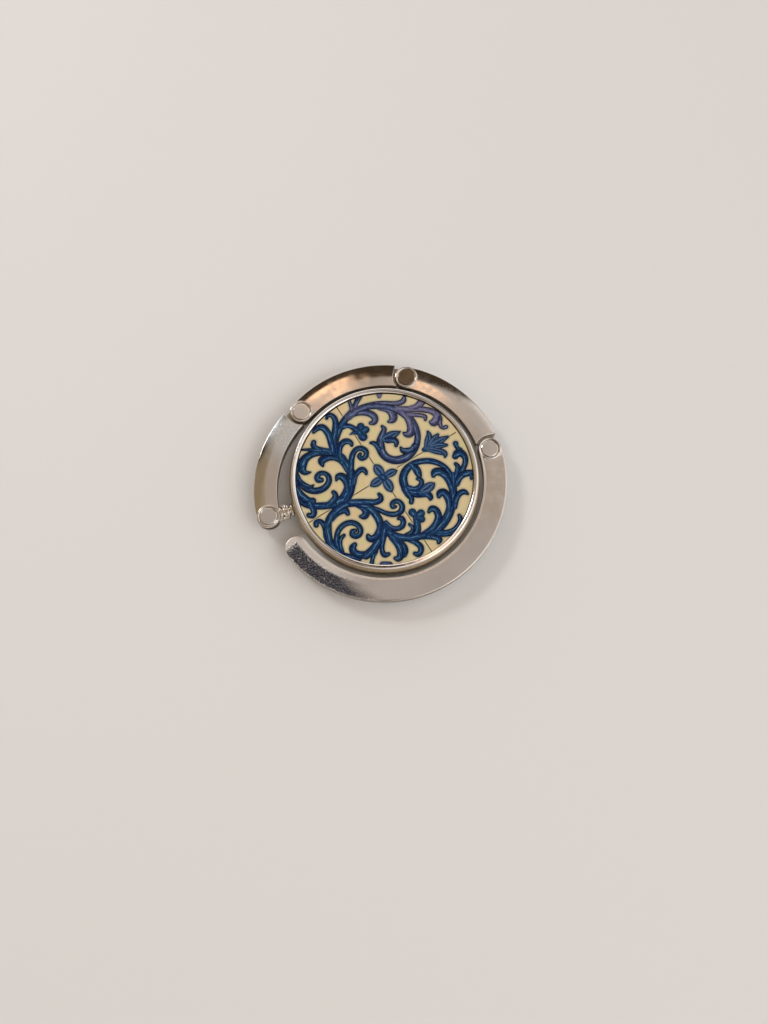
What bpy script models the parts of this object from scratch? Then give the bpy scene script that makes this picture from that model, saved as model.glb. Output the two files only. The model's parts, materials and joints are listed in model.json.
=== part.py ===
# Folding purse hook: a round disc that lies on a table, with a chain of four links folded round it as a ring.
# The chain turns on a swivel in the disc's side and opens into a hook that hangs below the table's edge.
# Metres, +Z up. The origin is the centre of the underside of the grip pad, where the disc stands.

import math

import bmesh
import bpy
from mathutils import Matrix, Vector

# Disc
disc_diameter = 0.0450
bead_overhang = 0.0005
bead_height = 0.0011
bead_rounding = 0.0003
rim_width = 0.0014
rim_proud = 0.00025
wall_thickness = 0.0020
skirt_thickness = 0.0011
skirt_chamfer = 0.0003
cavity_height = 0.0029
floor_thickness = 0.0013

# Layers in the disc, from the table up
pad_thickness = 0.0014
pad_margin = 0.0005
pad_chamfer = 0.0003
pad_tape_thickness = 0.00015
plate_thickness = 0.0005
print_tape_thickness = 0.00010
print_thickness = 0.00020
dome_edge_thickness = 0.00040
dome_crown = 0.00012

# Folded chain
ring_gap = 0.0015
link_width = 0.0056
link_thickness = 0.0032
link_bevel = 0.0004
link_step_degrees = 61.5
hook_pin_degrees = 17.4
hook_sweep_degrees = 158.0
swivel_offset = 0.0025

# Hinges
slot_height = 0.0012
slot_radius = 0.0035
tongue_clearance = 0.0001
eye_radius = 0.0024
tongue_half_width = 0.0022
tongue_root = 0.0020
shoulder_radius = 0.0034
pin_radius = 0.0009
pin_head_radius = 0.00215
pin_head_thickness = 0.00035
pin_head_sink = 0.00005
pin_tail_radius = 0.0014
pin_tail_thickness = 0.0003

# Swivel
stem_radius = 0.0008
bush_radius = 0.0013
bush_flange_radius = 0.0019
bush_flange_thickness = 0.0005
washer_radius = 0.00135
washer_thickness = 0.0004
stem_head_radius = 0.0012
stem_head_thickness = 0.00045
collar_radius = 0.0019
collar_thickness = 0.0005
waist_radius = 0.0013
waist_length = 0.0007
shoulder_length = 0.0008
knuckle_half_width = 0.0018

# Magnets that hold the ring shut
disc_magnet_radius = 0.00125
disc_magnet_length = 0.00135
hook_magnet_radius = 0.0010
hook_magnet_length = 0.0013
magnet_back_degrees = 4.0

# Clearances
seat_gap = 0.0001
running_gap = 0.00008
cut_overrun = 0.001

# Facets
disc_facets = 72
small_facets = 24
arc_step_degrees = 4.2
boss_facets = 14

# Sizes worked out from those above
disc_radius = disc_diameter / 2
wall_radius = disc_radius - bead_overhang
recess_radius = disc_radius - rim_width
cavity_radius = wall_radius - wall_thickness
rebate_radius = wall_radius - skirt_thickness
plate_radius = rebate_radius - seat_gap
pad_radius = plate_radius - pad_margin
insert_radius = recess_radius - seat_gap

pad_tape_base = pad_thickness + seat_gap
plate_base = pad_tape_base + pad_tape_thickness + seat_gap
ledge_height = plate_base + plate_thickness + seat_gap
cavity_top = ledge_height + cavity_height
recess_floor = cavity_top + floor_thickness
print_tape_base = recess_floor + seat_gap
print_base = print_tape_base + print_tape_thickness + seat_gap
dome_base = print_base + print_thickness + seat_gap
rim_top = dome_base + dome_edge_thickness + rim_proud

half_width = link_width / 2
ring_inner_radius = disc_radius + ring_gap
pitch_radius = ring_inner_radius + half_width
swivel_reach = pitch_radius + swivel_offset
swivel_height = ledge_height + cavity_height / 2
tongue_thickness = slot_height - 2 * tongue_clearance
pin_bore_radius = pin_radius + running_gap
pin_length = 2 * pitch_radius * math.sin(math.radians(link_step_degrees) / 2)

bush_hole_radius = bush_radius + seat_gap
bush_outer_end = wall_radius + seat_gap + bush_flange_thickness
stem_bore_radius = stem_radius + running_gap
washer_outer_face = math.sqrt(cavity_radius ** 2 - washer_radius ** 2) - seat_gap
stem_head_face = washer_outer_face - washer_thickness - seat_gap
collar_start = bush_outer_end + seat_gap
waist_start = collar_start + collar_thickness
shoulder_start = waist_start + waist_length
tongue_start = shoulder_start + shoulder_length


def arc_angles(start, stop, step):
    # Evenly spaced angles from start to stop, in degrees, both ends included.
    count = max(1, math.ceil(abs(stop - start) / step))
    return [start + (stop - start) * i / count for i in range(count + 1)]


def polar(radius, degrees):
    return Vector((radius * math.cos(math.radians(degrees)), radius * math.sin(math.radians(degrees))))


def arc(centre, radius, start, stop, step):
    return [centre + polar(radius, angle) for angle in arc_angles(start, stop, step)]


def chain_angles():
    # The last three hinges lie on the pitch circle. The first is pushed out to the swivel's reach,
    # where a link of the same length just meets it.
    last = hook_pin_degrees
    third = last + link_step_degrees
    second = third + link_step_degrees
    cosine = (swivel_reach ** 2 + pitch_radius ** 2 - pin_length ** 2) / (2 * swivel_reach * pitch_radius)
    first = second + math.degrees(math.acos(cosine))
    return first, second, third, last


swivel_degrees, second_degrees, third_degrees, last_degrees = chain_angles()
magnet_degrees = hook_pin_degrees - hook_sweep_degrees + magnet_back_degrees


def material(name, colour, roughness, metallic, alpha=1.0):
    finish = bpy.data.materials.new(name)
    finish.use_nodes = True
    shader = finish.node_tree.nodes["Principled BSDF"]
    shader.inputs["Base Color"].default_value = (*colour, 1.0)
    shader.inputs["Roughness"].default_value = roughness
    shader.inputs["Metallic"].default_value = metallic
    shader.inputs["Alpha"].default_value = alpha
    return finish


def finish_piece(name, mesh, finish, parent=None, matrix=None):
    # Puts a mesh in the scene as a named piece. The matrix is its place under its parent.
    piece = bpy.data.objects.new(name, mesh)
    bpy.context.scene.collection.objects.link(piece)
    piece.parent = parent
    if matrix is not None:
        piece.matrix_local = matrix
    if not mesh.materials:
        mesh.materials.append(finish)
    mesh.shade_smooth()
    mesh.set_sharp_from_angle(angle=math.radians(35))
    return piece


def mesh_from(bm, name):
    bmesh.ops.remove_doubles(bm, verts=bm.verts, dist=cut_overrun * 1e-4)
    bmesh.ops.recalc_face_normals(bm, faces=bm.faces)
    mesh = bpy.data.meshes.new(name)
    bm.to_mesh(mesh)
    bm.free()
    return mesh


def turned_mesh(name, profile, facets):
    # Turns a closed outline of (radius, height) points about Z.
    bm = bmesh.new()
    rings = []
    for radius, height in profile:
        if radius == 0:
            rings.append([bm.verts.new((0, 0, height))])
        else:
            turns = [2 * math.pi * i / facets for i in range(facets)]
            rings.append([bm.verts.new((radius * math.cos(t), radius * math.sin(t), height)) for t in turns])
    for ring, following in zip(rings, rings[1:] + rings[:1]):
        if len(ring) == 1 and len(following) == 1:
            continue
        for i in range(facets):
            j = (i + 1) % facets
            corners = [ring[i % len(ring)], ring[j % len(ring)]]
            corners += [following[j % len(following)], following[i % len(following)]]
            bm.faces.new(list(dict.fromkeys(corners)))
    return mesh_from(bm, name)


def disc_mesh(name, radius, base, thickness, facets, chamfer=0):
    # A plain round plate, with a chamfer round its lower edge if one is given.
    top = base + thickness
    profile = [(0, base), (radius - chamfer, base), (radius, base + chamfer), (radius, top), (0, top)]
    if chamfer == 0:
        profile.pop(2)
    return turned_mesh(name, profile, facets)


def inset(outline, distance):
    # Moves each point of a counter-clockwise outline inwards, square to its two edges.
    moved = []
    for before, here, after in zip(outline[-1:] + outline[:-1], outline, outline[1:] + outline[:1]):
        first = (here - before).normalized()
        second = (after - here).normalized()
        normal = Vector((-first.y - second.y, first.x + second.x)).normalized()
        moved.append(here + normal * distance / max(0.5, normal.dot(Vector((-first.y, first.x)))))
    return moved


def slab_mesh(name, outline, base, thickness, bevel=0):
    # Raises a counter-clockwise outline into a slab whose upper and lower edges are bevelled.
    top = base + thickness
    narrow = inset(outline, bevel)
    levels = [(outline, base), (outline, top)]
    if bevel > 0:
        levels = [(narrow, base), (outline, base + bevel), (outline, top - bevel), (narrow, top)]
    bm = bmesh.new()
    rings = [[bm.verts.new((*point, height)) for point in points] for points, height in levels]
    for lower, upper in zip(rings, rings[1:]):
        for i in range(len(outline)):
            j = (i + 1) % len(outline)
            bm.faces.new((lower[i], lower[j], upper[j], upper[i]))
    bm.faces.new(rings[0][::-1])
    bm.faces.new(rings[-1])
    return mesh_from(bm, name)


def guide(mesh):
    # A cutter or an added shape, which is not a piece of its own.
    shape = bpy.data.objects.new(mesh.name + "_guide", mesh)
    bpy.context.scene.collection.objects.link(shape)
    shape.hide_render = True
    shape.display_type = "WIRE"
    return shape


def combined(name, start, steps):
    # Applies a list of (operation, mesh) steps to a mesh and returns the finished mesh.
    body = guide(start)
    shapes = []
    for operation, mesh in steps:
        shape = guide(mesh)
        shapes.append(shape)
        change = body.modifiers.new(operation.lower(), "BOOLEAN")
        change.operation = operation
        change.object = shape
        change.solver = "EXACT"
    depsgraph = bpy.context.evaluated_depsgraph_get()
    mesh = bpy.data.meshes.new_from_object(body.evaluated_get(depsgraph))
    mesh.name = name
    for shape in [body] + shapes:
        bpy.data.objects.remove(shape)
    return mesh


def moved_mesh(mesh, matrix):
    mesh.transform(matrix)
    return mesh


def radial_place(degrees, height):
    # Stands a piece's own +Z along the radius at an angle, with its own origin on the disc's axis.
    turn = Matrix.Rotation(math.radians(degrees), 4, "Z") @ Matrix.Rotation(math.radians(90), 4, "Y")
    return Matrix.Translation((0, 0, height)) @ turn


def disc_profile():
    # The casting's section: print recess on top, plate rebate and hollow below, bead round the rim.
    bead_base = rim_top - bead_height
    return [
        (0, recess_floor),
        (recess_radius, recess_floor),
        (recess_radius, rim_top - bead_rounding),
        (recess_radius + bead_rounding, rim_top),
        (disc_radius - bead_rounding, rim_top),
        (disc_radius, rim_top - bead_rounding),
        (disc_radius, bead_base + bead_rounding),
        (wall_radius, bead_base),
        (wall_radius, plate_base + skirt_chamfer),
        (wall_radius - skirt_chamfer, plate_base),
        (rebate_radius, plate_base),
        (rebate_radius, ledge_height),
        (cavity_radius, ledge_height),
        (cavity_radius, cavity_top),
        (0, cavity_top),
    ]


def base_disc_mesh():
    # The casting, bored through its wall for the swivel bush and from the inside for the magnet.
    bush_hole = disc_mesh("bush_hole", bush_hole_radius, cavity_radius - cut_overrun,
                          wall_thickness + 2 * cut_overrun, small_facets)
    pocket = disc_mesh("magnet_pocket", disc_magnet_radius + seat_gap, cavity_radius - cut_overrun,
                       disc_magnet_length + seat_gap + cut_overrun, small_facets)
    moved_mesh(bush_hole, radial_place(swivel_degrees, swivel_height))
    moved_mesh(pocket, radial_place(magnet_degrees, swivel_height))
    casting = turned_mesh("casting", disc_profile(), disc_facets)
    return combined("base_disc", casting, [("DIFFERENCE", bush_hole), ("DIFFERENCE", pocket)])


def dome_mesh():
    # Clear cover with a slightly crowned face.
    crown_shares = ((1.0, 0.0), (0.97, 0.35), (0.85, 0.7), (0.6, 0.92), (0.3, 0.99), (0.0, 1.0))
    edge = dome_base + dome_edge_thickness
    profile = [(0, dome_base), (insert_radius, dome_base)]
    profile += [(insert_radius * across, edge + dome_crown * up) for across, up in crown_shares]
    return turned_mesh("clear_dome", profile, disc_facets)


def bush_mesh():
    # Flanged bush, turned along +Z as the distance from the disc's axis.
    inner = cavity_radius
    flange = wall_radius + seat_gap
    profile = [
        (stem_bore_radius, inner), (bush_radius, inner), (bush_radius, flange),
        (bush_flange_radius, flange), (bush_flange_radius, bush_outer_end), (stem_bore_radius, bush_outer_end),
    ]
    return turned_mesh("swivel_bush", profile, small_facets)


def washer_mesh():
    inner = washer_outer_face - washer_thickness
    profile = [
        (stem_bore_radius, inner), (washer_radius, inner),
        (washer_radius, washer_outer_face), (stem_bore_radius, washer_outer_face),
    ]
    return turned_mesh("stem_washer", profile, small_facets)


def knuckle_profile():
    # The turned stem: spread head inside the disc, collar, waist and shoulder outside it.
    return [
        (0, stem_head_face - stem_head_thickness),
        (stem_head_radius, stem_head_face - stem_head_thickness),
        (stem_head_radius, stem_head_face),
        (stem_radius, stem_head_face),
        (stem_radius, collar_start),
        (collar_radius, collar_start),
        (collar_radius, waist_start),
        (waist_radius, waist_start),
        (waist_radius, shoulder_start),
        (collar_radius, shoulder_start),
        (collar_radius, tongue_start),
        (0, tongue_start),
    ]


def bore_mesh(radius, base, thickness):
    return disc_mesh("bore", radius, base, thickness, small_facets)


def knuckle_mesh():
    # The stem along the swivel's axis with a flat tongue and eye for the first hinge.
    # Its own origin is the first hinge, with +X along the swivel's axis, away from the disc.
    to_hinge = Matrix.Translation((-swivel_reach, 0, 0)) @ Matrix.Rotation(math.radians(90), 4, "Y")
    stem = moved_mesh(turned_mesh("stem", knuckle_profile(), small_facets), to_hinge)
    root = shoulder_start + shoulder_length / 2 - swivel_reach
    corner = math.degrees(math.asin(knuckle_half_width / eye_radius))
    outline = [Vector((root, knuckle_half_width)), Vector((root, -knuckle_half_width))]
    outline += arc(Vector((0, 0)), eye_radius, corner - 180, 180 - corner, 360 / small_facets)
    tongue = slab_mesh("tongue", outline, -tongue_thickness / 2, tongue_thickness)
    bore = bore_mesh(pin_bore_radius, -tongue_thickness / 2 - cut_overrun, tongue_thickness + 2 * cut_overrun)
    return combined("swivel_knuckle", stem, [("UNION", tongue), ("DIFFERENCE", bore)])


def fork_cutters():
    # The slot for the neighbour's tongue, and the pin's bore with a sunk seat for its head and its tail.
    top = link_thickness / 2
    head_seat = top - pin_head_sink - pin_head_thickness - seat_gap
    tail_seat = pin_head_sink + pin_tail_thickness + seat_gap - top
    head_radius = pin_head_radius + seat_gap
    tail_radius = pin_tail_radius + seat_gap
    profile = [
        (0, -top - cut_overrun), (tail_radius, -top - cut_overrun), (tail_radius, tail_seat),
        (pin_bore_radius, tail_seat), (pin_bore_radius, head_seat),
        (head_radius, head_seat), (head_radius, top + cut_overrun), (0, top + cut_overrun),
    ]
    slot = disc_mesh("slot", slot_radius, -slot_height / 2, slot_height, 2 * small_facets)
    return [("DIFFERENCE", slot), ("DIFFERENCE", turned_mesh("pin_seat", profile, small_facets))]


def fork_end():
    # The round end about the link's own origin, from its inner side round to its outer side.
    return arc(Vector((0, 0)), half_width, 180, 0, 180 / boss_facets)


def link_mesh():
    # A link's own origin is its fork pin, +X points away from the ring's centre, and its arc runs towards -Y.
    centre = Vector((-pitch_radius, 0))
    far_pin = centre + polar(pitch_radius, -link_step_degrees)
    along = polar(1, -link_step_degrees + 90)
    outward = polar(1, -link_step_degrees)
    outer_stop = -link_step_degrees + math.degrees(math.asin(shoulder_radius / (pitch_radius + half_width)))
    arc_start = math.degrees(math.acos(-half_width / shoulder_radius))
    arc_angles_here = arc_angles(90, arc_start, 180 / boss_facets)
    shoulder = [far_pin + outward * shoulder_radius * math.cos(math.radians(a))
                + along * shoulder_radius * math.sin(math.radians(a)) for a in arc_angles_here]
    inner_point = shoulder[-1] - centre
    inner_stop = math.degrees(math.atan2(inner_point.y, inner_point.x))
    outline = arc(centre, pitch_radius + half_width, 0, outer_stop, arc_step_degrees)
    outline += shoulder[:-1]
    outline += arc(centre, pitch_radius - half_width, inner_stop, 0, arc_step_degrees)
    outline += fork_end()[1:-1]
    body = slab_mesh("link_body", outline[::-1], -link_thickness / 2, link_thickness, link_bevel)
    steps = fork_cutters()
    root_turn = math.degrees((shoulder_radius + tongue_root) / pitch_radius) - link_step_degrees
    tip_corner = math.degrees(math.acos(tongue_half_width / eye_radius))
    eye = [far_pin + outward * eye_radius * math.cos(math.radians(a))
           + along * eye_radius * math.sin(math.radians(a))
           for a in arc_angles(180 - tip_corner, 360 + tip_corner, 360 / small_facets)]
    root = [centre + polar(pitch_radius + tongue_half_width, root_turn),
            centre + polar(pitch_radius - tongue_half_width, root_turn)]
    tongue = slab_mesh("tongue", eye + root, -tongue_thickness / 2, tongue_thickness)
    bore = bore_mesh(pin_bore_radius, -tongue_thickness / 2 - cut_overrun, tongue_thickness + 2 * cut_overrun)
    moved_mesh(bore, Matrix.Translation((far_pin.x, far_pin.y, 0)))
    return combined("chain_link", body, steps + [("UNION", tongue), ("DIFFERENCE", bore)])


def hook_mesh():
    # The last and longest link, with a round free end and a magnet pocket in its inner wall.
    centre = Vector((-pitch_radius, 0))
    tip = centre + polar(pitch_radius, -hook_sweep_degrees)
    outline = arc(centre, pitch_radius + half_width, 0, -hook_sweep_degrees, arc_step_degrees)
    outline += arc(tip, half_width, -hook_sweep_degrees, -hook_sweep_degrees - 180, 180 / boss_facets)[1:-1]
    outline += arc(centre, pitch_radius - half_width, -hook_sweep_degrees, 0, arc_step_degrees)
    outline += fork_end()[1:-1]
    body = slab_mesh("hook_body", outline[::-1], -link_thickness / 2, link_thickness, link_bevel)
    pocket_depth = hook_magnet_length + 2 * seat_gap
    pocket = disc_mesh("magnet_pocket", hook_magnet_radius + seat_gap, ring_inner_radius - cut_overrun,
                       pocket_depth + cut_overrun, small_facets)
    turn = magnet_back_degrees - hook_sweep_degrees
    moved_mesh(pocket, Matrix.Translation((-pitch_radius, 0, 0)) @ radial_place(turn, 0))
    return combined("hook_link", body, fork_cutters() + [("DIFFERENCE", pocket)])


def pin_mesh():
    # Rivet pin: wide flat head above, shank through both ears, spread tail below.
    top = link_thickness / 2 - pin_head_sink
    head_base = top - pin_head_thickness
    tail_top = pin_tail_thickness - top
    profile = [
        (0, -top), (pin_tail_radius, -top), (pin_tail_radius, tail_top), (pin_radius, tail_top),
        (pin_radius, head_base), (pin_head_radius, head_base), (pin_head_radius, top), (0, top),
    ]
    return turned_mesh("hinge_pin", profile, small_facets)


def axis_empty(name, place, parent=None):
    # An empty on a joint's axis, given by its place in the world.
    empty = bpy.data.objects.new(name, None)
    bpy.context.scene.collection.objects.link(empty)
    empty.parent = parent
    bpy.context.view_layer.update()
    empty.matrix_world = place
    bpy.context.view_layer.update()
    return empty


def hinge_place(pin, degrees):
    return Matrix.Translation((pin.x, pin.y, swivel_height)) @ Matrix.Rotation(math.radians(degrees), 4, "Z")


def first_link_degrees(first_pin, second_pin):
    # How far the first link is turned so that it reaches from the swivel's pin to the second pin.
    far = Vector((-pitch_radius, 0)) + polar(pitch_radius, -link_step_degrees)
    wanted = second_pin - first_pin
    return math.degrees(math.atan2(wanted.y, wanted.x) - math.atan2(far.y, far.x))


def build_disc(metal, card, clear, rubber, tape, magnet):
    finish_piece("base_disc", base_disc_mesh(), metal)
    finish_piece("print_tape", disc_mesh("print_tape", insert_radius, print_tape_base, print_tape_thickness,
                                         disc_facets), tape)
    finish_piece("print_disc", disc_mesh("print_disc", insert_radius, print_base, print_thickness,
                                         disc_facets), card)
    finish_piece("clear_dome", dome_mesh(), clear)
    finish_piece("base_plate", disc_mesh("base_plate", plate_radius, plate_base, plate_thickness,
                                         disc_facets), metal)
    finish_piece("pad_tape", disc_mesh("pad_tape", pad_radius, pad_tape_base, pad_tape_thickness,
                                       disc_facets), tape)
    finish_piece("grip_pad", disc_mesh("grip_pad", pad_radius, 0, pad_thickness, disc_facets,
                                       pad_chamfer), rubber)
    block = disc_mesh("disc_magnet", disc_magnet_radius, cavity_radius + seat_gap / 2, disc_magnet_length,
                      small_facets)
    finish_piece("disc_magnet", block, magnet, matrix=radial_place(magnet_degrees, swivel_height))


def build_swivel(metal, steel, swivel_axis):
    outward = radial_place(swivel_degrees, swivel_height)
    finish_piece("swivel_bush", bush_mesh(), steel, matrix=outward)
    finish_piece("stem_washer", washer_mesh(), steel, matrix=outward)
    finish_piece("swivel_knuckle", knuckle_mesh(), metal, swivel_axis)


def build_chain(metal, steel, magnet, swivel_axis):
    pins = [polar(swivel_reach, swivel_degrees)]
    pins += [polar(pitch_radius, degrees) for degrees in (second_degrees, third_degrees, last_degrees)]
    turns = [first_link_degrees(pins[0], pins[1]), second_degrees, third_degrees, last_degrees]
    link = link_mesh()
    rivet = pin_mesh()
    parent = swivel_axis
    for number, (pin, turn) in enumerate(zip(pins, turns), start=1):
        parent = axis_empty("hinge_axis_%d" % number, hinge_place(pin, turn), parent)
        if number < len(pins):
            finish_piece("link_%d" % number, link, metal, parent)
        finish_piece("hinge_pin_%d" % number, rivet, steel, parent)
    finish_piece("hook_link", hook_mesh(), metal, parent)
    block = disc_mesh("hook_magnet", hook_magnet_radius, ring_inner_radius + seat_gap, hook_magnet_length,
                      small_facets)
    place = Matrix.Translation((-pitch_radius, 0, 0))
    place = place @ radial_place(magnet_back_degrees - hook_sweep_degrees, 0)
    finish_piece("hook_magnet", block, magnet, parent, place)


def main():
    for leftover in list(bpy.data.objects):
        bpy.data.objects.remove(leftover)
    metal = material("plated_casting", (0.62, 0.58, 0.54), 0.16, 1.0)
    steel = material("plated_steel", (0.66, 0.63, 0.59), 0.14, 1.0)
    card = material("printed_card", (0.45, 0.50, 0.48), 0.45, 0.0)
    clear = material("clear_resin", (0.95, 0.95, 0.93), 0.05, 0.0, 0.35)
    rubber = material("black_rubber", (0.02, 0.02, 0.02), 0.75, 0.0)
    tape = material("white_tape", (0.8, 0.78, 0.72), 0.6, 0.0)
    magnet = material("magnet_nickel", (0.55, 0.55, 0.56), 0.25, 1.0)
    first_pin = polar(swivel_reach, swivel_degrees)
    swivel_axis = axis_empty("swivel_axis", hinge_place(first_pin, swivel_degrees))
    build_disc(metal, card, clear, rubber, tape, magnet)
    build_swivel(metal, steel, swivel_axis)
    build_chain(metal, steel, magnet, swivel_axis)


main()
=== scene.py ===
import json
import math

import bpy
import bmesh
import numpy as np
from mathutils import Matrix, Vector
from mathutils.geometry import delaunay_2d_cdt


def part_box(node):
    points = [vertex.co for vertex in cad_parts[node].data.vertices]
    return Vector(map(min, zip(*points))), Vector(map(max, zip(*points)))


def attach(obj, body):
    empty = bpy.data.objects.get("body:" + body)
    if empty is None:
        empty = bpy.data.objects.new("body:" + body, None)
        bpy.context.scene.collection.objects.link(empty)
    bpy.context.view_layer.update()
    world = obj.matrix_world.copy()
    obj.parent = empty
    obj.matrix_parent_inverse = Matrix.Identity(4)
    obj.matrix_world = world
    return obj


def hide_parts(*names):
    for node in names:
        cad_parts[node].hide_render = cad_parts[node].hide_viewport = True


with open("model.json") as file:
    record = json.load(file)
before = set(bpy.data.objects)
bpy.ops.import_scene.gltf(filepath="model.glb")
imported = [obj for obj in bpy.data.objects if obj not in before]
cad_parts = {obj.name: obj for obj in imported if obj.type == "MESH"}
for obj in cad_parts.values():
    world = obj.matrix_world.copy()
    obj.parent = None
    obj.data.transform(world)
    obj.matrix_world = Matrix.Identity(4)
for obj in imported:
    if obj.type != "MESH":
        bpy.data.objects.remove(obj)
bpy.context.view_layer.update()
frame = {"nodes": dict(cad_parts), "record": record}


# The grip pad: a soft black rubber disc that stands on the table and keeps the hook from sliding off it.
# It is moulded with a chamfered lower edge and fine rings on its underside, and is stuck to the base plate.

mm = 0.001
turning_circle = 10 * mm
turning_facets = 160
weld_distance = 0.0005 * mm
sharp_edge = math.radians(38)


class Value:
    # A number, place, colour or mesh that a node works out, so that a finish can be written in plain sums.
    def __init__(self, socket):
        self.socket = socket
        self.tree = socket.id_data

    def __add__(self, other):
        return maths("ADD", self, other)

    def __sub__(self, other):
        return maths("SUBTRACT", self, other)

    def __rsub__(self, other):
        return maths("SUBTRACT", other, self)

    def __mul__(self, other):
        return maths("MULTIPLY", self, other)

    def __abs__(self):
        return maths("ABSOLUTE", self)


def add_node(tree, kind, values, **settings):
    # Adds a node, gives it its settings, and sets or links its inputs by name or number.
    node = tree.nodes.new(kind)
    for setting, value in settings.items():
        setattr(node, setting, value)
    for socket, value in values.items():
        value = value.socket if isinstance(value, Value) else value
        if isinstance(value, bpy.types.NodeSocket):
            tree.links.new(value, node.inputs[socket])
        else:
            node.inputs[socket].default_value = value
    return node


def worked(tree, kind, values, output=0, **settings):
    # What a new node works out.
    return Value(add_node(tree, kind, values, **settings).outputs[output])


def maths(operation, first, second=0.0):
    tree = (first if isinstance(first, Value) else second).tree
    return worked(tree, "ShaderNodeMath", {0: first, 1: second}, operation=operation)


def noise(place, scale, detail=3.0, roughness=0.5, turn=0.0, stretch=None):
    # Noise whose scale is in features per millimetre, turned and stretched along the axes if asked.
    if stretch is not None:
        place = worked(place.tree, "ShaderNodeMapping", {"Vector": place, "Rotation": (0, 0, turn),
                                                         "Scale": stretch})
    return worked(place.tree, "ShaderNodeTexNoise", {"Vector": place, "Scale": scale, "Detail": detail,
                                                     "Roughness": roughness}, "Fac")


def spread(value, low, high, to_low=0.0, to_high=1.0):
    # Maps a value from one range to another, smoothly and within bounds.
    return worked(value.tree, "ShaderNodeMapRange", {"Value": value, "From Min": low, "From Max": high,
                                                     "To Min": to_low, "To Max": to_high},
                  "Result", interpolation_type="SMOOTHSTEP")


def mixed(share, first, second):
    # Mixes two colours, each given as three numbers or as a value.
    colours = [colour if isinstance(colour, Value) else (*colour, 1) for colour in (first, second)]
    return worked(share.tree, "ShaderNodeMix", {0: share, 6: colours[0], 7: colours[1]}, 2, data_type="RGBA")


def place_in_mm(tree):
    # Each point's place on its own piece, in millimetres.
    place = worked(tree, "ShaderNodeTexCoord", {}, "Object")
    return worked(tree, "ShaderNodeVectorMath", {0: place, "Scale": 1 / mm}, operation="SCALE")


def new_finish(name, colour, roughness, metallic=0.0):
    # A material with its shader and the place that its patterns read.
    finish = bpy.data.materials.new(name)
    finish.use_nodes = True
    shader = finish.node_tree.nodes["Principled BSDF"]
    shader.inputs["Base Color"].default_value = (*colour, 1)
    shader.inputs["Roughness"].default_value = roughness
    shader.inputs["Metallic"].default_value = metallic
    return finish, shader, place_in_mm(finish.node_tree)


def give(shader, colour, roughness):
    colour.tree.links.new(colour.socket, shader.inputs["Base Color"])
    colour.tree.links.new(roughness.socket, shader.inputs["Roughness"])


def bumped(shader, height, depth, before=None):
    # Gives the shader a bump of a depth in metres, on top of an earlier one if there is one.
    values = {"Height": height, "Distance": depth, "Strength": 1.0}
    if before is not None:
        values["Normal"] = before
    normal = worked(height.tree, "ShaderNodeBump", values)
    height.tree.links.new(normal.socket, shader.inputs["Normal"])
    return normal


def lathe_tree():
    # Sweeps an outline round a circle, with its corners rounded. The outline's first axis runs outwards
    # from the circle, and its second runs down.
    tree = bpy.data.node_groups.new("lathe", "GeometryNodeTree")
    for label, kind in (("Geometry", "Geometry"), ("Facets", "Int"), ("Circle", "Float"),
                        ("Rounding", "Float"), ("Steps", "Int"), ("Finish", "Material")):
        tree.interface.new_socket(label, in_out="INPUT", socket_type="NodeSocket" + kind)
    tree.interface.new_socket("Geometry", in_out="OUTPUT", socket_type="NodeSocketGeometry")
    given = add_node(tree, "NodeGroupInput", {}).outputs
    outline = worked(tree, "GeometryNodeMeshToCurve", {"Mesh": given["Geometry"]})
    rounded = worked(tree, "GeometryNodeFilletCurve", {
        "Curve": outline, "Count": given["Steps"], "Radius": given["Rounding"], "Limit Radius": True},
        mode="POLY")
    circle = worked(tree, "GeometryNodeCurvePrimitiveCircle", {
        "Resolution": given["Facets"], "Radius": given["Circle"]}, mode="RADIUS")
    upright = worked(tree, "GeometryNodeSetCurveNormal", {"Curve": circle}, mode="Z_UP")
    turned = worked(tree, "GeometryNodeCurveToMesh", {"Curve": upright, "Profile Curve": rounded})
    merged = worked(tree, "GeometryNodeMergeByDistance", {"Geometry": turned, "Distance": weld_distance})
    real = worked(tree, "GeometryNodeRealizeInstances", {0: merged})
    finished = worked(tree, "GeometryNodeSetMaterial", {"Geometry": real, "Material": given["Finish"]})
    add_node(tree, "NodeGroupOutput", {0: finished})
    return tree


lathe = lathe_tree()


def outwards(mesh):
    # Turns the faces out, and shades the mesh smooth but for its sharp edges.
    bm = bmesh.new()
    bm.from_mesh(mesh)
    bmesh.ops.recalc_face_normals(bm, faces=bm.faces)
    if bm.calc_volume(signed=True) < 0:
        bmesh.ops.reverse_faces(bm, faces=bm.faces)
    bm.to_mesh(mesh)
    bm.free()
    mesh.shade_smooth()
    mesh.set_sharp_from_angle(angle=sharp_edge)
    return mesh


def new_object(name, data):
    thing = bpy.data.objects.new(name, data)
    bpy.context.scene.collection.objects.link(thing)
    return thing


def plain_mesh(thing):
    # The mesh of an object with its modifiers worked into it. The object itself goes.
    evaluated = thing.evaluated_get(bpy.context.evaluated_depsgraph_get())
    mesh = bpy.data.meshes.new_from_object(evaluated)
    mesh.name = thing.name
    bpy.data.objects.remove(thing)
    return mesh


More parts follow.
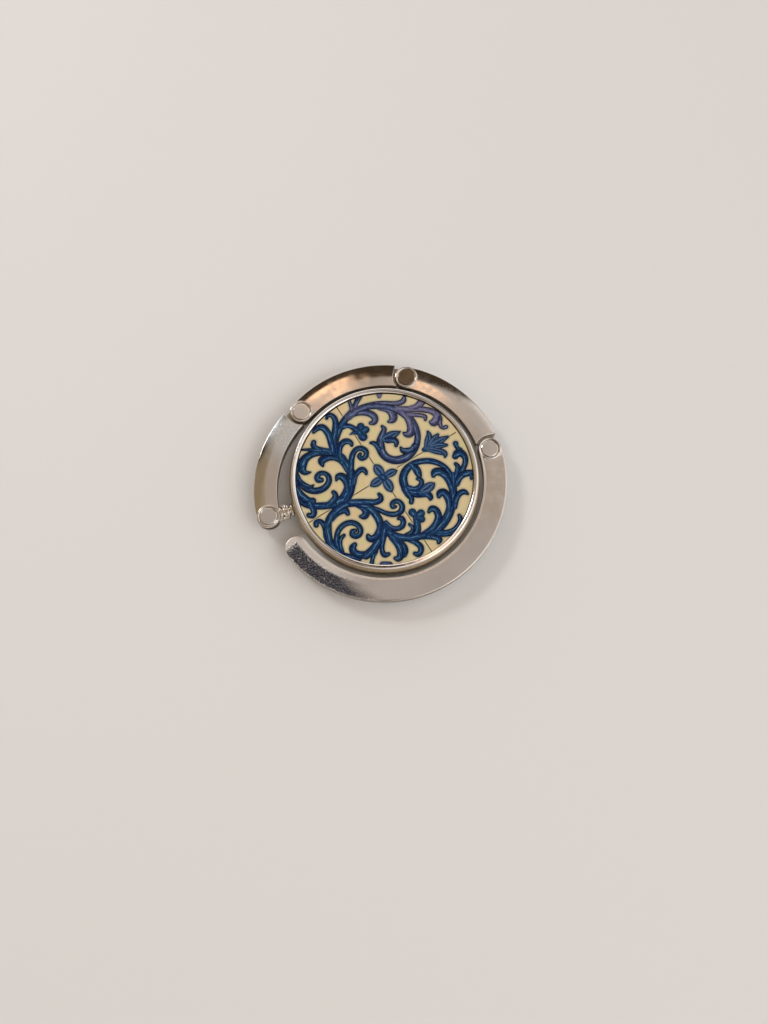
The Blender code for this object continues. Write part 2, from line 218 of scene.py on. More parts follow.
def turned_mesh(name, outline, finish, rounding, closed=False, facets=turning_facets, steps=4, place=None):
    # Turns an outline of (radius, height) points about Z. One that starts and ends on the axis is open.
    start = bpy.data.meshes.new(name + "_outline")
    links = [(i, i + 1) for i in range(len(outline) - 1)]
    if closed:
        links.append((len(outline) - 1, 0))
    start.from_pydata([(radius - turning_circle, -height, 0) for radius, height in outline], links, [])
    carrier = new_object(name, start)
    modifier = carrier.modifiers.new("lathe", "NODES")
    modifier.node_group = lathe
    values = {"Facets": facets, "Circle": turning_circle, "Rounding": rounding, "Steps": steps,
              "Finish": finish}
    for item in lathe.interface.items_tree:
        if item.in_out == "INPUT" and item.name in values:
            modifier[item.identifier] = values[item.name]
    mesh = plain_mesh(carrier)
    if place is not None:
        mesh.transform(place)
    return outwards(mesh)


def put_in_place(name, mesh, body, node):
    # Shows a finished mesh as the piece that stands for a CAD node, on the same body.
    piece = new_object(name, mesh)
    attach(piece, body)
    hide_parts(node)


def rubber_finish():
    finish, shader, place = new_finish("black_rubber", (0.018, 0.017, 0.016), 0.7)
    dust = spread(noise(place, 1.6, 5), 0.45, 0.75)
    give(shader, mixed(dust, (0.014, 0.013, 0.013), (0.045, 0.043, 0.040)),
         spread(noise(place, 3.0), 0.3, 0.7, 0.6, 0.82))
    bumped(shader, noise(place, 9.0, 4), depth=0.02 * mm)
    return finish


def box_radius(node):
    # The radius of a round node that is centred on the disc's axis.
    low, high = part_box(node)
    return (high.x - low.x) / 2


pad_radius = box_radius("grip_pad")
pad_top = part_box("grip_pad")[1].z
pad_chamfer = 0.3 * mm
pad_ring_pitch = 1.5 * mm
pad_ring_depth = 0.15 * mm
pad_ring_count = 12
pad_rounding = 0.1 * mm


def pad_outline():
    # From the underside's middle, over its rings of shallow grooves, to the top's middle.
    points = [(0, 0)]
    for ring in range(1, pad_ring_count + 1):
        middle = ring * pad_ring_pitch
        points += [(middle - pad_ring_depth, 0), (middle, pad_ring_depth), (middle + pad_ring_depth, 0)]
    return points + [(pad_radius - pad_chamfer, 0), (pad_radius, pad_chamfer), (pad_radius, pad_top),
                     (0, pad_top)]


pad_mesh = turned_mesh("rubber_grip_pad", pad_outline(), rubber_finish(), pad_rounding, steps=2)
put_in_place("rubber_grip_pad", pad_mesh, "disc", "grip_pad")


# The tape that holds the pad: a thin double-sided foam tape between the base plate and the pad.
# It is hidden but for its edge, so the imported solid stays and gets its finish.

def tape_finish():
    finish, shader, place = new_finish("white_foam_tape", (0.80, 0.78, 0.72), 0.65)
    fibres = noise(place, 6.0, 4)
    give(shader, mixed(fibres, (0.74, 0.71, 0.64), (0.85, 0.83, 0.78)),
         spread(noise(place, 14.0), 0.3, 0.7, 0.5, 0.75))
    bumped(shader, fibres, depth=0.01 * mm)
    return finish


def refinish(node, finish):
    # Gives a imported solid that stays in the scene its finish.
    solid = frame["nodes"][node]
    solid.data.materials.clear()
    solid.data.materials.append(finish)


tape = tape_finish()
refinish("pad_tape", tape)


# The base plate: a thin pressed steel disc, nickel plated, that closes the hollow under the casting.
# It lies in a rebate in the casting's skirt, and the pad is stuck to it.

plate_rounding = 0.08 * mm
steel_wall_top = 2.0 * mm
scratch_runs = ((0.5, (0.35, 9.0, 1.0)), (2.4, (0.5, 12.0, 1.0)))
# How much darker the mottled parts of the walls' painted shade are.
wall_shade_mottle_share = 0.84
polish_wave = 0.0017 * mm
fine_wave = 0.0008 * mm


def larger(first, second):
    return maths("MAXIMUM", first, second)


def parts(place):
    # The x, y and z of a place.
    return [Value(socket) for socket in add_node(place.tree, "ShaderNodeSeparateXYZ", {0: place}).outputs]


def plated_finish(name, light, dark, smooth, worn, wall_top, wall=(0.40, 0.35, 0.29), wall_gloss=0.32,
                  wall_base=0.0):
    # Polished nickel plate. Its colour and gloss drift a little, and it carries fine scratches in two
    # directions and small pits. Between the given heights the walls are less polished, and their colour is
    # painted shade: darker and warmer, a painted reflection of dark surroundings.
    finish, shader, place = new_finish(name, light, smooth, 1.0)
    height = parts(place)[2]
    on_wall = spread(height, wall_top / mm + 0.12, wall_top / mm - 0.25) \
        * spread(height, wall_base / mm + 0.05, wall_base / mm + 0.30)
    tone = mixed(spread(noise(place, 0.12, 2), 0.3, 0.7), dark, light)
    # The walls' colour is painted shade and a painted dark reflection, mottled a little.
    wall_shade = mixed(spread(noise(place, 1.1, 4), 0.35, 0.65), wall, [wall_shade_mottle_share * part for part in wall])
    lines = [spread(noise(place, 1.6, 2, 0.6, turn, stretch), 0.66, 0.74) for turn, stretch in scratch_runs]
    rubbed = larger(*lines) * spread(noise(place, 0.6, 3), 0.45, 0.7)
    gloss = rubbed * 0.12 + spread(noise(place, 0.4, 3), 0.35, 0.75, smooth, worn)
    give(shader, mixed(on_wall, tone, wall_shade), larger(gloss, on_wall * wall_gloss))
    polish = bumped(shader, noise(place, 0.35, 1), polish_wave)
    fine = bumped(shader, noise(place, 6.0, 3), fine_wave, polish)
    bumped(shader, rubbed * -1.0, fine_wave, fine)
    return finish


steel = plated_finish("plated_steel", (0.68, 0.635, 0.58), (0.64, 0.595, 0.54), 0.07, 0.15, steel_wall_top)
plate_low, plate_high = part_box("base_plate")
plate_radius = box_radius("base_plate")
plate_outline = [(0, plate_low.z), (plate_radius, plate_low.z), (plate_radius, plate_high.z),
                 (0, plate_high.z)]
put_in_place("pressed_base_plate", turned_mesh("pressed_base_plate", plate_outline, steel, plate_rounding),
             "disc", "base_plate")


# The disc's casting: die-cast zinc, polished and nickel plated. Its rim is a bead that is round outside and
# slopes gently inwards, to a steeper lip that holds the printed card and its clear cover. The side wall below
# is fuller and less polished, and is bored for the swivel's bush.

disc_radius = box_radius("base_disc")
disc_low, disc_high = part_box("base_disc")
rim_top = disc_high.z
seat_gap = 0.1 * mm
face_radius = box_radius("print_disc") + 0.35 * mm
recess_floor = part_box("print_tape")[0].z - seat_gap
wall_radius = disc_radius - 0.5 * mm
wall_bulge = 1.0 * mm
wall_foot = 1.0 * mm
skirt_inner_radius = plate_radius + seat_gap
ledge_height = plate_high.z + seat_gap
hollow_radius = wall_radius - 2.0 * mm
hollow_top = recess_floor - 1.3 * mm
wall_shoulder_start = 0.15 * mm
wall_shoulder_height = 1.3 * mm
wall_shoulder_steepest = 72
wall_shoulder_steps = 8
bead_outer_rounding = 0.45 * mm
bead_lower_rounding = 0.35 * mm
bead_undercut_degrees = 60
bead_steps = 6
bead_base = rim_top - 1.1 * mm
bead_slope_drop = 0.065 * mm
bead_root = (wall_radius + 0.2 * mm, bead_base - 0.1 * mm)
lip_width = 0.22 * mm
lip_drop = 0.17 * mm
rim_gap = 0.04 * mm
casting_rounding = 0.10 * mm

# Below the bead, the wall's olive colour is painted shade and a painted warm reflection.
casting_metal = plated_finish("plated_casting", (0.81, 0.765, 0.72), (0.75, 0.705, 0.66), 0.08, 0.17,
                              bead_base, wall=(0.49, 0.39, 0.27), wall_gloss=0.42)


def arc_points(centre, radii, start, stop, count):
    # Points on an arc or part of an ellipse, with both ends, in degrees.
    points = []
    for i in range(count + 1):
        angle = math.radians(start + (stop - start) * i / count)
        points.append((centre[0] + radii[0] * math.cos(angle), centre[1] + radii[1] * math.sin(angle)))
    return points


def casting_outline():
    # From the recess's floor, over the lip, the bead's slope and its round edge, down the wall to the hollow.
    inner = face_radius + rim_gap
    points = [(0, recess_floor), (inner, recess_floor), (inner, rim_top - lip_drop),
              (inner + lip_width, rim_top - bead_slope_drop)]
    for radius, height, start, stop in (
            (bead_outer_rounding, rim_top - bead_outer_rounding, 90, 0),
            (bead_lower_rounding, bead_base + bead_lower_rounding, 0, -bead_undercut_degrees)):
        points += arc_points((disc_radius - radius, height), (radius, radius), start, stop, bead_steps)
    shoulder_base = bead_base - wall_shoulder_start - wall_shoulder_height
    points.append(bead_root)
    points += arc_points((wall_radius, shoulder_base), (wall_bulge, wall_shoulder_height),
                         wall_shoulder_steepest, 0, wall_shoulder_steps)
    return points + [(wall_radius + wall_bulge, disc_low.z + wall_foot), (wall_radius, disc_low.z),
                     (skirt_inner_radius, disc_low.z), (skirt_inner_radius, ledge_height),
                     (hollow_radius, ledge_height), (hollow_radius, hollow_top), (0, hollow_top)]


joints = {joint["name"]: joint for joint in frame["record"]["behaviour"]["joints"]}
hinge_at = {name: Vector(joint["pos_m"]) for name, joint in joints.items()}
swivel_axis = Vector(joints["swivel"]["axis"])
swivel_height = hinge_at["swivel"].z
swivel_turn = math.atan2(swivel_axis.y, swivel_axis.x)
at_swivel = Matrix.Translation((0, 0, swivel_height)) @ Matrix.Rotation(swivel_turn, 4, "Z")
lying = Matrix.Rotation(math.radians(90), 4, "Y")
along_swivel = at_swivel @ lying
bush_radius = 1.3 * mm
bush_flange_radius = 1.9 * mm
cut_overrun = 1.0 * mm
plug_facets = 48


def combined(mesh, steps):
    # Cuts or joins shapes to a mesh, one after the other. Each step is an operation and a mesh.
    body = new_object(mesh.name, mesh)
    shapes = []
    for operation, shape_mesh in steps:
        shape = new_object(shape_mesh.name, shape_mesh)
        shapes.append(shape)
        change = body.modifiers.new(operation, "BOOLEAN")
        change.operation = operation
        change.object = shape
        change.solver = "EXACT"
    result = plain_mesh(body)
    for shape in shapes:
        bpy.data.objects.remove(shape)
    return outwards(result)


def plug_mesh(name, radius, base, top, place=None, facets=plug_facets):
    # A plain round bar for cutting a bore. The cut faces take on the finish of the piece.
    return turned_mesh(name, [(0, base), (radius, base), (radius, top), (0, top)], steel, 0, facets=facets,
                       place=place)


casting = turned_mesh("printed_face_casting", casting_outline(), casting_metal, casting_rounding, steps=3)
bush_bore = plug_mesh("bush_bore", bush_radius + seat_gap, hollow_radius - cut_overrun,
                      wall_radius + cut_overrun, along_swivel)
spot_face = plug_mesh("spot_face", bush_flange_radius + seat_gap, wall_radius, disc_radius + 2 * cut_overrun,
                      along_swivel)
casting = combined(casting, [("DIFFERENCE", spot_face), ("DIFFERENCE", bush_bore)])
put_in_place("printed_face_casting", casting, "disc", "base_disc")


# The swivel's bush: a turned steel sleeve with a flange, pressed into the casting's wall from outside.
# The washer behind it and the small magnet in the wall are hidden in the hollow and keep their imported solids.

bush_flange_thickness = 0.5 * mm
stem_radius = 0.8 * mm
running_gap = 0.08 * mm
small_facets = 64
turned_rounding = 0.12 * mm

bush_seat = wall_radius + seat_gap
bush_end = bush_seat + bush_flange_thickness
stem_bore_radius = stem_radius + running_gap
bush_outline = [(stem_bore_radius, hollow_radius), (bush_radius, hollow_radius), (bush_radius, bush_seat),
                (bush_flange_radius, bush_seat), (bush_flange_radius, bush_end), (stem_bore_radius, bush_end)]
bush = turned_mesh("swivel_bush_sleeve", bush_outline, steel, turned_rounding, closed=True,
                   facets=small_facets, place=along_swivel)
put_in_place("swivel_bush_sleeve", bush, "disc", "swivel_bush")
refinish("stem_washer", steel)


def magnet_finish():
    finish, shader, place = new_finish("magnet_nickel", (0.58, 0.575, 0.56), 0.25, 1.0)
    mottle = noise(place, 2.5, 4)
    give(shader, mixed(mottle, (0.50, 0.49, 0.48), (0.64, 0.63, 0.61)), spread(mottle, 0.3, 0.7, 0.2, 0.38))
    bumped(shader, noise(place, 12.0), depth=0.003 * mm)
    return finish


magnet = magnet_finish()
refinish("disc_magnet", magnet)


# The swivel knuckle: turned and milled from plated zinc. Its stem runs in the bush and has a spread head
# inside. Outside stand a collar between two grooves and a shoulder with a hollow waist, and a flat tongue
# with an eye carries the first link's pin.

# The knuckle's turned outline beyond the bush, as (radius, distance along) in millimetres.
knuckle_turns = ((1.0, 0), (1.0, 0.3), (1.6, 0.4), (1.75, 0.7), (1.6, 1.05), (1.05, 1.2), (1.05, 1.4),
                 (1.9, 1.55), (1.9, 1.85), (1.55, 2.15), (1.38, 2.5), (1.38, 2.8), (1.55, 3.1), (1.85, 3.35),
                 (1.85, 3.58))
knuckle_rounding = 0.10 * mm
knuckle_wall_top = 2.4 * mm
stem_head_radius = 1.2 * mm
stem_head_length = 0.45 * mm
washer_thickness = 0.4 * mm
washer_radius = 1.35 * mm
washer_inner_face = math.sqrt(hollow_radius ** 2 - washer_radius ** 2) - seat_gap - washer_thickness
knuckle_half_width = 1.8 * mm
eye_radius = 2.4 * mm
tongue_thickness = 1.0 * mm
tongue_rounding = 0.06 * mm
pin_radius = 0.9 * mm
boss_step_degrees = 6.0
edge_steps = 4
holding_share = 1.3
clear_share = 1.6
touching = 1e-8
net_exactness = 1e-9
collar_start = bush_end + seat_gap
tongue_start = collar_start + 1.7 * mm

knuckle_metal = plated_finish("plated_knuckle", (0.78, 0.73, 0.67), (0.70, 0.65, 0.59), 0.06, 0.14,
                              knuckle_wall_top)


def polar(radius, degrees):
    return Vector((radius * math.cos(math.radians(degrees)), radius * math.sin(math.radians(degrees))))


def arc(centre, radius, start, stop, step):
    # Points on an arc about a centre, with both ends, no further apart than the step in degrees.
    count = max(1, math.ceil(abs(stop - start) / step))
    return [centre + polar(radius, start + (stop - start) * i / count) for i in range(count + 1)]


def inset(outline, distance):
    # Moves each point of a counter-clockwise outline inwards, square to its two edges.
    moved = []
    for before, here, after in zip(outline[-1:] + outline[:-1], outline, outline[1:] + outline[:1]):
        first = (here - before).normalized()
        second = (after - here).normalized()
        normal = Vector((-first.y - second.y, first.x + second.x)).normalized()
        moved.append(here + normal * distance / max(0.5, normal.dot(Vector((-first.y, first.x)))))
    return moved


def edge_distance(points, outline):
    # How far each point lies inside an outline. It is negative for the points outside.
    here = np.array([tuple(p) for p in points])
    start = np.array([tuple(p) for p in outline])
    stop = np.roll(start, -1, axis=0)
    along = stop - start
    offset = here[:, None] - start[None]
    share = np.clip((offset * along).sum(2) / (along ** 2).sum(1), 0, 1)
    distance = np.linalg.norm(offset - share[..., None] * along, axis=2).min(1)
    crossing = (start[:, 1] > here[:, None, 1]) != (stop[:, 1] > here[:, None, 1])
    slope = along[:, 0] / np.where(along[:, 1] == 0, 1, along[:, 1])
    reach = start[:, 0] + (here[:, None, 1] - start[:, 1]) * slope
    inside = ((here[:, None, 0] < reach) & crossing).sum(1) % 2 == 1
    return np.where(inside, distance, -distance)


def rounded_drop(distance, bevel):
    # How far a rounded edge lies below its face at a distance inside the outline.
    near = np.clip(distance, 0, bevel)
    return bevel - np.sqrt(np.maximum(0, bevel ** 2 - (bevel - near) ** 2))


def slab_mesh(name, outline, finish, top_at, base_at, bevel, inner_points=()):
    # A slab with a counter-clockwise outline, whose faces follow two functions of a point's place and its
    # distance inside the outline. Rows of points follow its rounded edges.
    rows = [inset(outline, bevel * (1 - math.cos(math.radians(90 * step / edge_steps))))
            for step in range(edge_steps + 1)] + [inset(outline, bevel * holding_share)]
    points = [point for row in rows for point in row]
    size = len(outline)
    edges = [(row * size + i, row * size + (i + 1) % size) for row in range(len(rows)) for i in range(size)]
    if len(inner_points):
        clear = edge_distance(inner_points, outline) > bevel * clear_share
        points += [point for point, kept in zip(inner_points, clear) if kept]
    flat, _, faces, *_ = delaunay_2d_cdt(points, edges, [], 1, net_exactness)
    distance = np.maximum(0, edge_distance(flat, outline))
    distance[distance < touching] = 0
    places = np.array([tuple(p) for p in flat])
    bm = bmesh.new()
    upper, lower = ([bm.verts.new((*place, height)) for place, height in zip(places, heights)]
                    for heights in (top_at(places, distance), base_at(places, distance)))
    for face in faces:
        bm.faces.new([upper[i] for i in face])
    bm.verts.index_update()
    rim = [(edge.verts[0].index, edge.verts[1].index) for edge in bm.edges if edge.is_boundary]
    for face in faces:
        bm.faces.new([lower[i] for i in reversed(face)])
    for i, j in rim:
        bm.faces.new((upper[i], upper[j], lower[j], lower[i]))
    bmesh.ops.recalc_face_normals(bm, faces=bm.faces)
    mesh = bpy.data.meshes.new(name)
    bm.to_mesh(mesh)
    bm.free()
    mesh.materials.append(finish)
    return mesh


def tongue_mesh(outline, finish):
    # A plain flat tongue with rounded upper and lower edges, about height 0.
    half = tongue_thickness / 2
    return slab_mesh("tongue", outline, finish,
                     lambda places, distance: half - rounded_drop(distance, tongue_rounding),
                     lambda places, distance: rounded_drop(distance, tongue_rounding) - half, tongue_rounding)


def pin_bore(place):
    # The bore for a pin through a tongue, at a hinge.
    reach = tongue_thickness / 2 + cut_overrun
    return plug_mesh("pin_bore", pin_radius + running_gap, -reach, reach, Matrix.Translation(place))


def knuckle_mesh():
    # The turned stem with its spread head, joined to the tongue and bored for the first pin.
    head_face = washer_inner_face - seat_gap
    outline = [(0, head_face - stem_head_length), (stem_head_radius, head_face - stem_head_length),
               (stem_head_radius, head_face), (stem_radius, head_face), (stem_radius, collar_start)]
    outline += [(radius * mm, collar_start + along * mm) for radius, along in knuckle_turns]
    outline.append((0, outline[-1][1]))
    stem = turned_mesh("swivel_knuckle_body", outline, knuckle_metal, knuckle_rounding, facets=small_facets,
                       place=along_swivel)
    corner = math.degrees(math.asin(knuckle_half_width / eye_radius))
    eye_centre = Vector((hinge_at["hinge_1"].xy.length, 0))
    tongue_outline = [Vector((tongue_start, knuckle_half_width)), Vector((tongue_start, -knuckle_half_width))]
    tongue_outline += arc(eye_centre, eye_radius, corner - 180, 180 - corner, boss_step_degrees)
    tongue = tongue_mesh(tongue_outline, knuckle_metal)
    tongue.transform(at_swivel)
    return combined(stem, [("UNION", tongue), ("DIFFERENCE", pin_bore(hinge_at["hinge_1"]))])


put_in_place("swivel_knuckle_body", knuckle_mesh(), "knuckle", "swivel_knuckle")


# The links: three equal die-cast arcs, polished and plated. Each has a forked round end with a raised ring
# round its pin's seat, a face that is flat along its inner side and falls away outwards, and a shoulder cut
# round the next link's end, from which its flat tongue reaches into the next fork.

link_width = 5.6 * mm
link_thickness = 3.2 * mm
link_step_degrees = 61.5
link_bevel = 0.15 * mm
base_bevel = 0.25 * mm
cut_bevel = 0.07 * mm
face_drop = 0.12 * mm
crown_drop = 0.30 * mm
crown_start_share = 0.40
slot_height = 1.2 * mm
slot_radius = 3.5 * mm
slot_facets = 96
seat_facets = 60
shoulder_radius = 3.4 * mm
shoulder_points = 10
tongue_half_width = 2.2 * mm
tongue_root = 2.0 * mm
eye_points = 40
pin_head_radius = 2.15 * mm
pin_head_thickness = 0.35 * mm
pin_head_sink = 0.09 * mm
pin_tail_radius = 1.4 * mm
pin_tail_thickness = 0.3 * mm
ring_inner_radius = pin_head_radius + seat_gap
ring_width = 0.50 * mm
ring_edge_rise = 0.09 * mm
ring_edge_bevel = 0.12 * mm
ring_row_shares = (-0.5, -0.15, 0.0, 0.12, 0.3, 0.5, 0.7, 0.88, 1.0, 1.04)
arc_step_degrees = 1.0
row_pitch = 0.4 * mm
link_wall_top = 4.9 * mm
scuff_middle = (-23.9, 11.6, 5.2)
scuff_heights = (4.7, 4.95)
scuff_turn = 0.35

# A link's own origin is its fork pin. +X points away from the centre of its arc, which runs towards -Y to
# the far pin, and two more directions run outwards and along the arc there.
half_width = link_width / 2
half_thickness = link_thickness / 2
body_top = half_thickness - face_drop
pitch_radius = hinge_at["hinge_4"].xy.length
inner_radius = pitch_radius - half_width
outer_radius = pitch_radius + half_width
link_origin = Vector((0, 0))
link_centre = Vector((-pitch_radius, 0))
far_pin = link_centre + polar(pitch_radius, -link_step_degrees)
far_outwards = polar(1, -link_step_degrees)
far_along = polar(1, 90 - link_step_degrees)


def link_plate(name, wall_top):
    # The walls' dark colour is painted shade, as in the gaps between the pieces.
    return plated_finish(name, (0.68, 0.62, 0.555), (0.63, 0.57, 0.51), 0.07, 0.15, wall_top,
                         wall=(0.33, 0.285, 0.235), wall_base=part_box("link_1")[0].z)


link_metal = link_plate("plated_links", link_wall_top)


def from_centre(places):
    return np.hypot(places[:, 0] - link_centre.x, places[:, 1] - link_centre.y)


def from_origin(places):
    return np.hypot(places[:, 0], places[:, 1])


def crown(radius):
    # How far the face has fallen, from its flat inner side to its outer edge.
    share = (radius - inner_radius) / link_width
    share = np.clip((share - crown_start_share) / (1 - crown_start_share), 0, 1)
    return crown_drop * share ** 2


def pin_ring(places, distance):
    # Height of the raised ring round the pin's seat, which is rounded off at the link's edge.
    beyond = from_origin(places) - ring_inner_radius
    share = np.clip(beyond / ring_width * 2 - 1, -1, 1)
    height = np.where(beyond - ring_width > touching, -half_thickness,
                      half_thickness - ring_edge_rise * share ** 4)
    return np.minimum(height, half_thickness - rounded_drop(distance, ring_edge_bevel))


def link_top(places, distance):
    # The edges along the link are rounded, and the cut round the next link's end is left nearly sharp.
    radius = from_centre(places)
    from_side = half_width - np.where(places[:, 1] > 0, from_origin(places), np.abs(radius - pitch_radius))
    across = (places - far_pin) @ np.array(far_outwards)
    ahead = (places - far_pin) @ np.array(far_along)
    from_cut = np.where(across > 0, ahead, np.hypot(across, ahead)) - shoulder_radius
    drop = np.maximum(rounded_drop(from_side, link_bevel), rounded_drop(from_cut, cut_bevel))
    return np.maximum(body_top - crown(radius) - drop, pin_ring(places, distance))


def link_base(places, distance):
    return rounded_drop(distance, base_bevel) - half_thickness


def link_rows(sweep_degrees):
    # Rows of points along a link's face, and round circles about its pin's seat.
    count = int(link_width / row_pitch)
    points = []
    for row in range(1, count):
        points += arc(link_centre, inner_radius + link_width * row / count, 0, -sweep_degrees,
                      arc_step_degrees)
    points = [point for point in points if point.length > ring_inner_radius + ring_width + row_pitch / 2]
    for share in ring_row_shares:
        points += arc(link_origin, ring_inner_radius + ring_width * share, 0, 360 - boss_step_degrees,
                      boss_step_degrees)
    return points


def fork_cutters():
    # The slot for the neighbour's tongue, and the pin's bore with a sunk seat for its head and its tail.
    head_seat = half_thickness - pin_head_sink - pin_head_thickness - seat_gap
    tail_seat = pin_head_sink + pin_tail_thickness + seat_gap - half_thickness
    tail_radius = pin_tail_radius + seat_gap
    bore = pin_radius + running_gap
    above = half_thickness + cut_overrun
    outline = [(0, -above), (tail_radius, -above), (tail_radius, tail_seat), (bore, tail_seat),
               (bore, head_seat), (ring_inner_radius, head_seat), (ring_inner_radius, above), (0, above)]
    slot = plug_mesh("slot", slot_radius, -slot_height / 2, slot_height / 2, facets=slot_facets)
    seat = turned_mesh("pin_seat", outline, steel, 0, facets=seat_facets)
    return [("DIFFERENCE", slot), ("DIFFERENCE", seat)]


def fork_end():
    # The round end about the link's own origin, from its inner side round to its outer side.
    return arc(link_origin, half_width, 180, 0, boss_step_degrees)


def round_far_pin(radius, start, stop, count):
    # Points on an arc about the far pin. Its angles are counted from the way outwards.
    turns = [math.radians(angle) for angle in np.linspace(start, stop, count)]
    return [far_pin + far_outwards * radius * math.cos(turn) + far_along * radius * math.sin(turn)
            for turn in turns]


def chain_link_mesh():
    outer_stop = math.degrees(math.asin(shoulder_radius / outer_radius)) - link_step_degrees
    shoulder = round_far_pin(shoulder_radius, 90, math.degrees(math.acos(-half_width / shoulder_radius)),
                             shoulder_points)
    inner_point = shoulder[-1] - link_centre
    inner_stop = math.degrees(math.atan2(inner_point.y, inner_point.x))
    outline = arc(link_centre, outer_radius, 0, outer_stop, arc_step_degrees) + shoulder[:-1]
    outline += arc(link_centre, inner_radius, inner_stop, 0, arc_step_degrees) + fork_end()[1:-1]
    body = slab_mesh("chain_link", outline[::-1], link_metal, link_top, link_base, link_bevel,
                     link_rows(link_step_degrees))
    root_turn = math.degrees((shoulder_radius + tongue_root) / pitch_radius) - link_step_degrees
    corner = math.degrees(math.acos(tongue_half_width / eye_radius))
    eye = round_far_pin(eye_radius, 180 - corner, 360 + corner, eye_points)
    root = [link_centre + polar(pitch_radius + side * tongue_half_width, root_turn) for side in (1, -1)]
    return combined(body, fork_cutters() + [("UNION", tongue_mesh(eye + root, link_metal)),
                                            ("DIFFERENCE", pin_bore((*far_pin, 0)))])


def link_place(number):
    # Where a link's own origin and turn put it: its arc starts at its own hinge and ends at the next one.
    start = hinge_at["hinge_%d" % number]
    stop = hinge_at["hinge_%d" % (number + 1)]
    turn = math.atan2(stop.y - start.y, stop.x - start.x) - math.atan2(far_pin.y, far_pin.x)
    return Matrix.Translation(start) @ Matrix.Rotation(turn, 4, "Z")


def so_far(finish):
    # A finish's shader, the place its patterns read, and its colour, gloss and bump so far.
    shader = finish.node_tree.nodes["Principled BSDF"]
    layers = [Value(shader.inputs[layer].links[0].from_socket)
              for layer in ("Base Color", "Roughness", "Normal")]
    return shader, place_in_mm(finish.node_tree), *layers


def scuffed_finish():
    # The links' plate with a patch that is rubbed pale and satin near the first link's upper end.
    finish = link_metal.copy()
    finish.name = "plated_first_link"
    shader, place, plate, gloss, bump = so_far(finish)
    away = worked(place.tree, "ShaderNodeVectorMath", {0: place, 1: scuff_middle}, "Value",
                  operation="DISTANCE")
    ragged = noise(place, 0.9, 5, 0.7) * 4.0 + away
    marks = spread(noise(place, 1.8, 3, 0.6, scuff_turn, (4.0, 0.8, 1.0)), 0.60, 0.66)
    on_face = spread(parts(place)[2], *scuff_heights)
    share = spread(ragged, 12.5, 3.5, 0, 0.90) * on_face * (marks * 0.18 + 0.82)
    lines = noise(place, 2.2, 3, 0.6, scuff_turn, (7.0, 0.5, 1.0))
    give(shader, mixed(share, plate, (0.70, 0.79, 0.86)), larger(gloss, share * 0.36))
    bumped(shader, lines * share, depth=0.012 * mm, before=bump)
    return finish


link_bodies = ("first_link", "second_link", "third_link")
link_blank = chain_link_mesh()
for number, body in enumerate(link_bodies, start=1):
    link = link_blank.copy()
    link.transform(link_place(number))
    if number == 1:
        link.materials[0] = scuffed_finish()
    put_in_place("chain_link_%d" % number, link, body, "link_%d" % number)


# The hook: the last and longest link of the same section, whose full round free end hangs below the table
# when the chain is open. A patch of its face near that end is rough and pitted where the plate has worn.
# A small magnet is let into its inner wall, and holds the folded ring against the disc.

hook_sweep_degrees = 158.0
chamfer_width = 0.60 * mm
chamfer_slope = 0.22
magnet_back_degrees = 4.0
hook_magnet_radius = 1.0 * mm
hook_magnet_length = 1.3 * mm
hook_wall_top = 5.12 * mm
edge_highlight_reach = (0.68, 0.45)
edge_highlight_heights = (4.95, 5.05)
face_heights = (4.9, 5.1)
patch_inner = 25.6
patch_outer = 29.65
patch_start = math.radians(-143)
patch_stop = math.radians(-100)


def hook_top(places, distance):
    # The outer edge is rounded like a link's, and the inner one has a wider, flatter chamfer.
    inward = np.clip((pitch_radius + half_width / 2 - from_centre(places)) / half_width, 0, 1)
    chamfer = chamfer_slope * np.maximum(0, chamfer_width - distance) + rounded_drop(distance, cut_bevel)
    body = body_top - inward * chamfer - (1 - inward) * rounded_drop(distance, link_bevel)
    return np.maximum(body, pin_ring(places, distance))


def hook_link_mesh(finish):
    # A hook's own origin and directions are like a link's.
    tip = link_centre + polar(pitch_radius, -hook_sweep_degrees)
    outline = arc(link_centre, outer_radius, 0, -hook_sweep_degrees, arc_step_degrees)
    outline += arc(tip, half_width, -hook_sweep_degrees, -hook_sweep_degrees - 180, boss_step_degrees)[1:-1]
    outline += arc(link_centre, inner_radius, -hook_sweep_degrees, 0, arc_step_degrees) + fork_end()[1:-1]
    body = slab_mesh("long_hook", outline[::-1], finish, hook_top, link_base, chamfer_width,
                     link_rows(hook_sweep_degrees))
    turn = math.radians(magnet_back_degrees - hook_sweep_degrees)
    place = Matrix.Translation((-pitch_radius, 0, 0)) @ Matrix.Rotation(turn, 4, "Z") @ lying
    pocket = plug_mesh("magnet_pocket", hook_magnet_radius + seat_gap, inner_radius - cut_overrun,
                       inner_radius + hook_magnet_length + 2 * seat_gap, place)
    return combined(body, fork_cutters() + [("DIFFERENCE", pocket)])


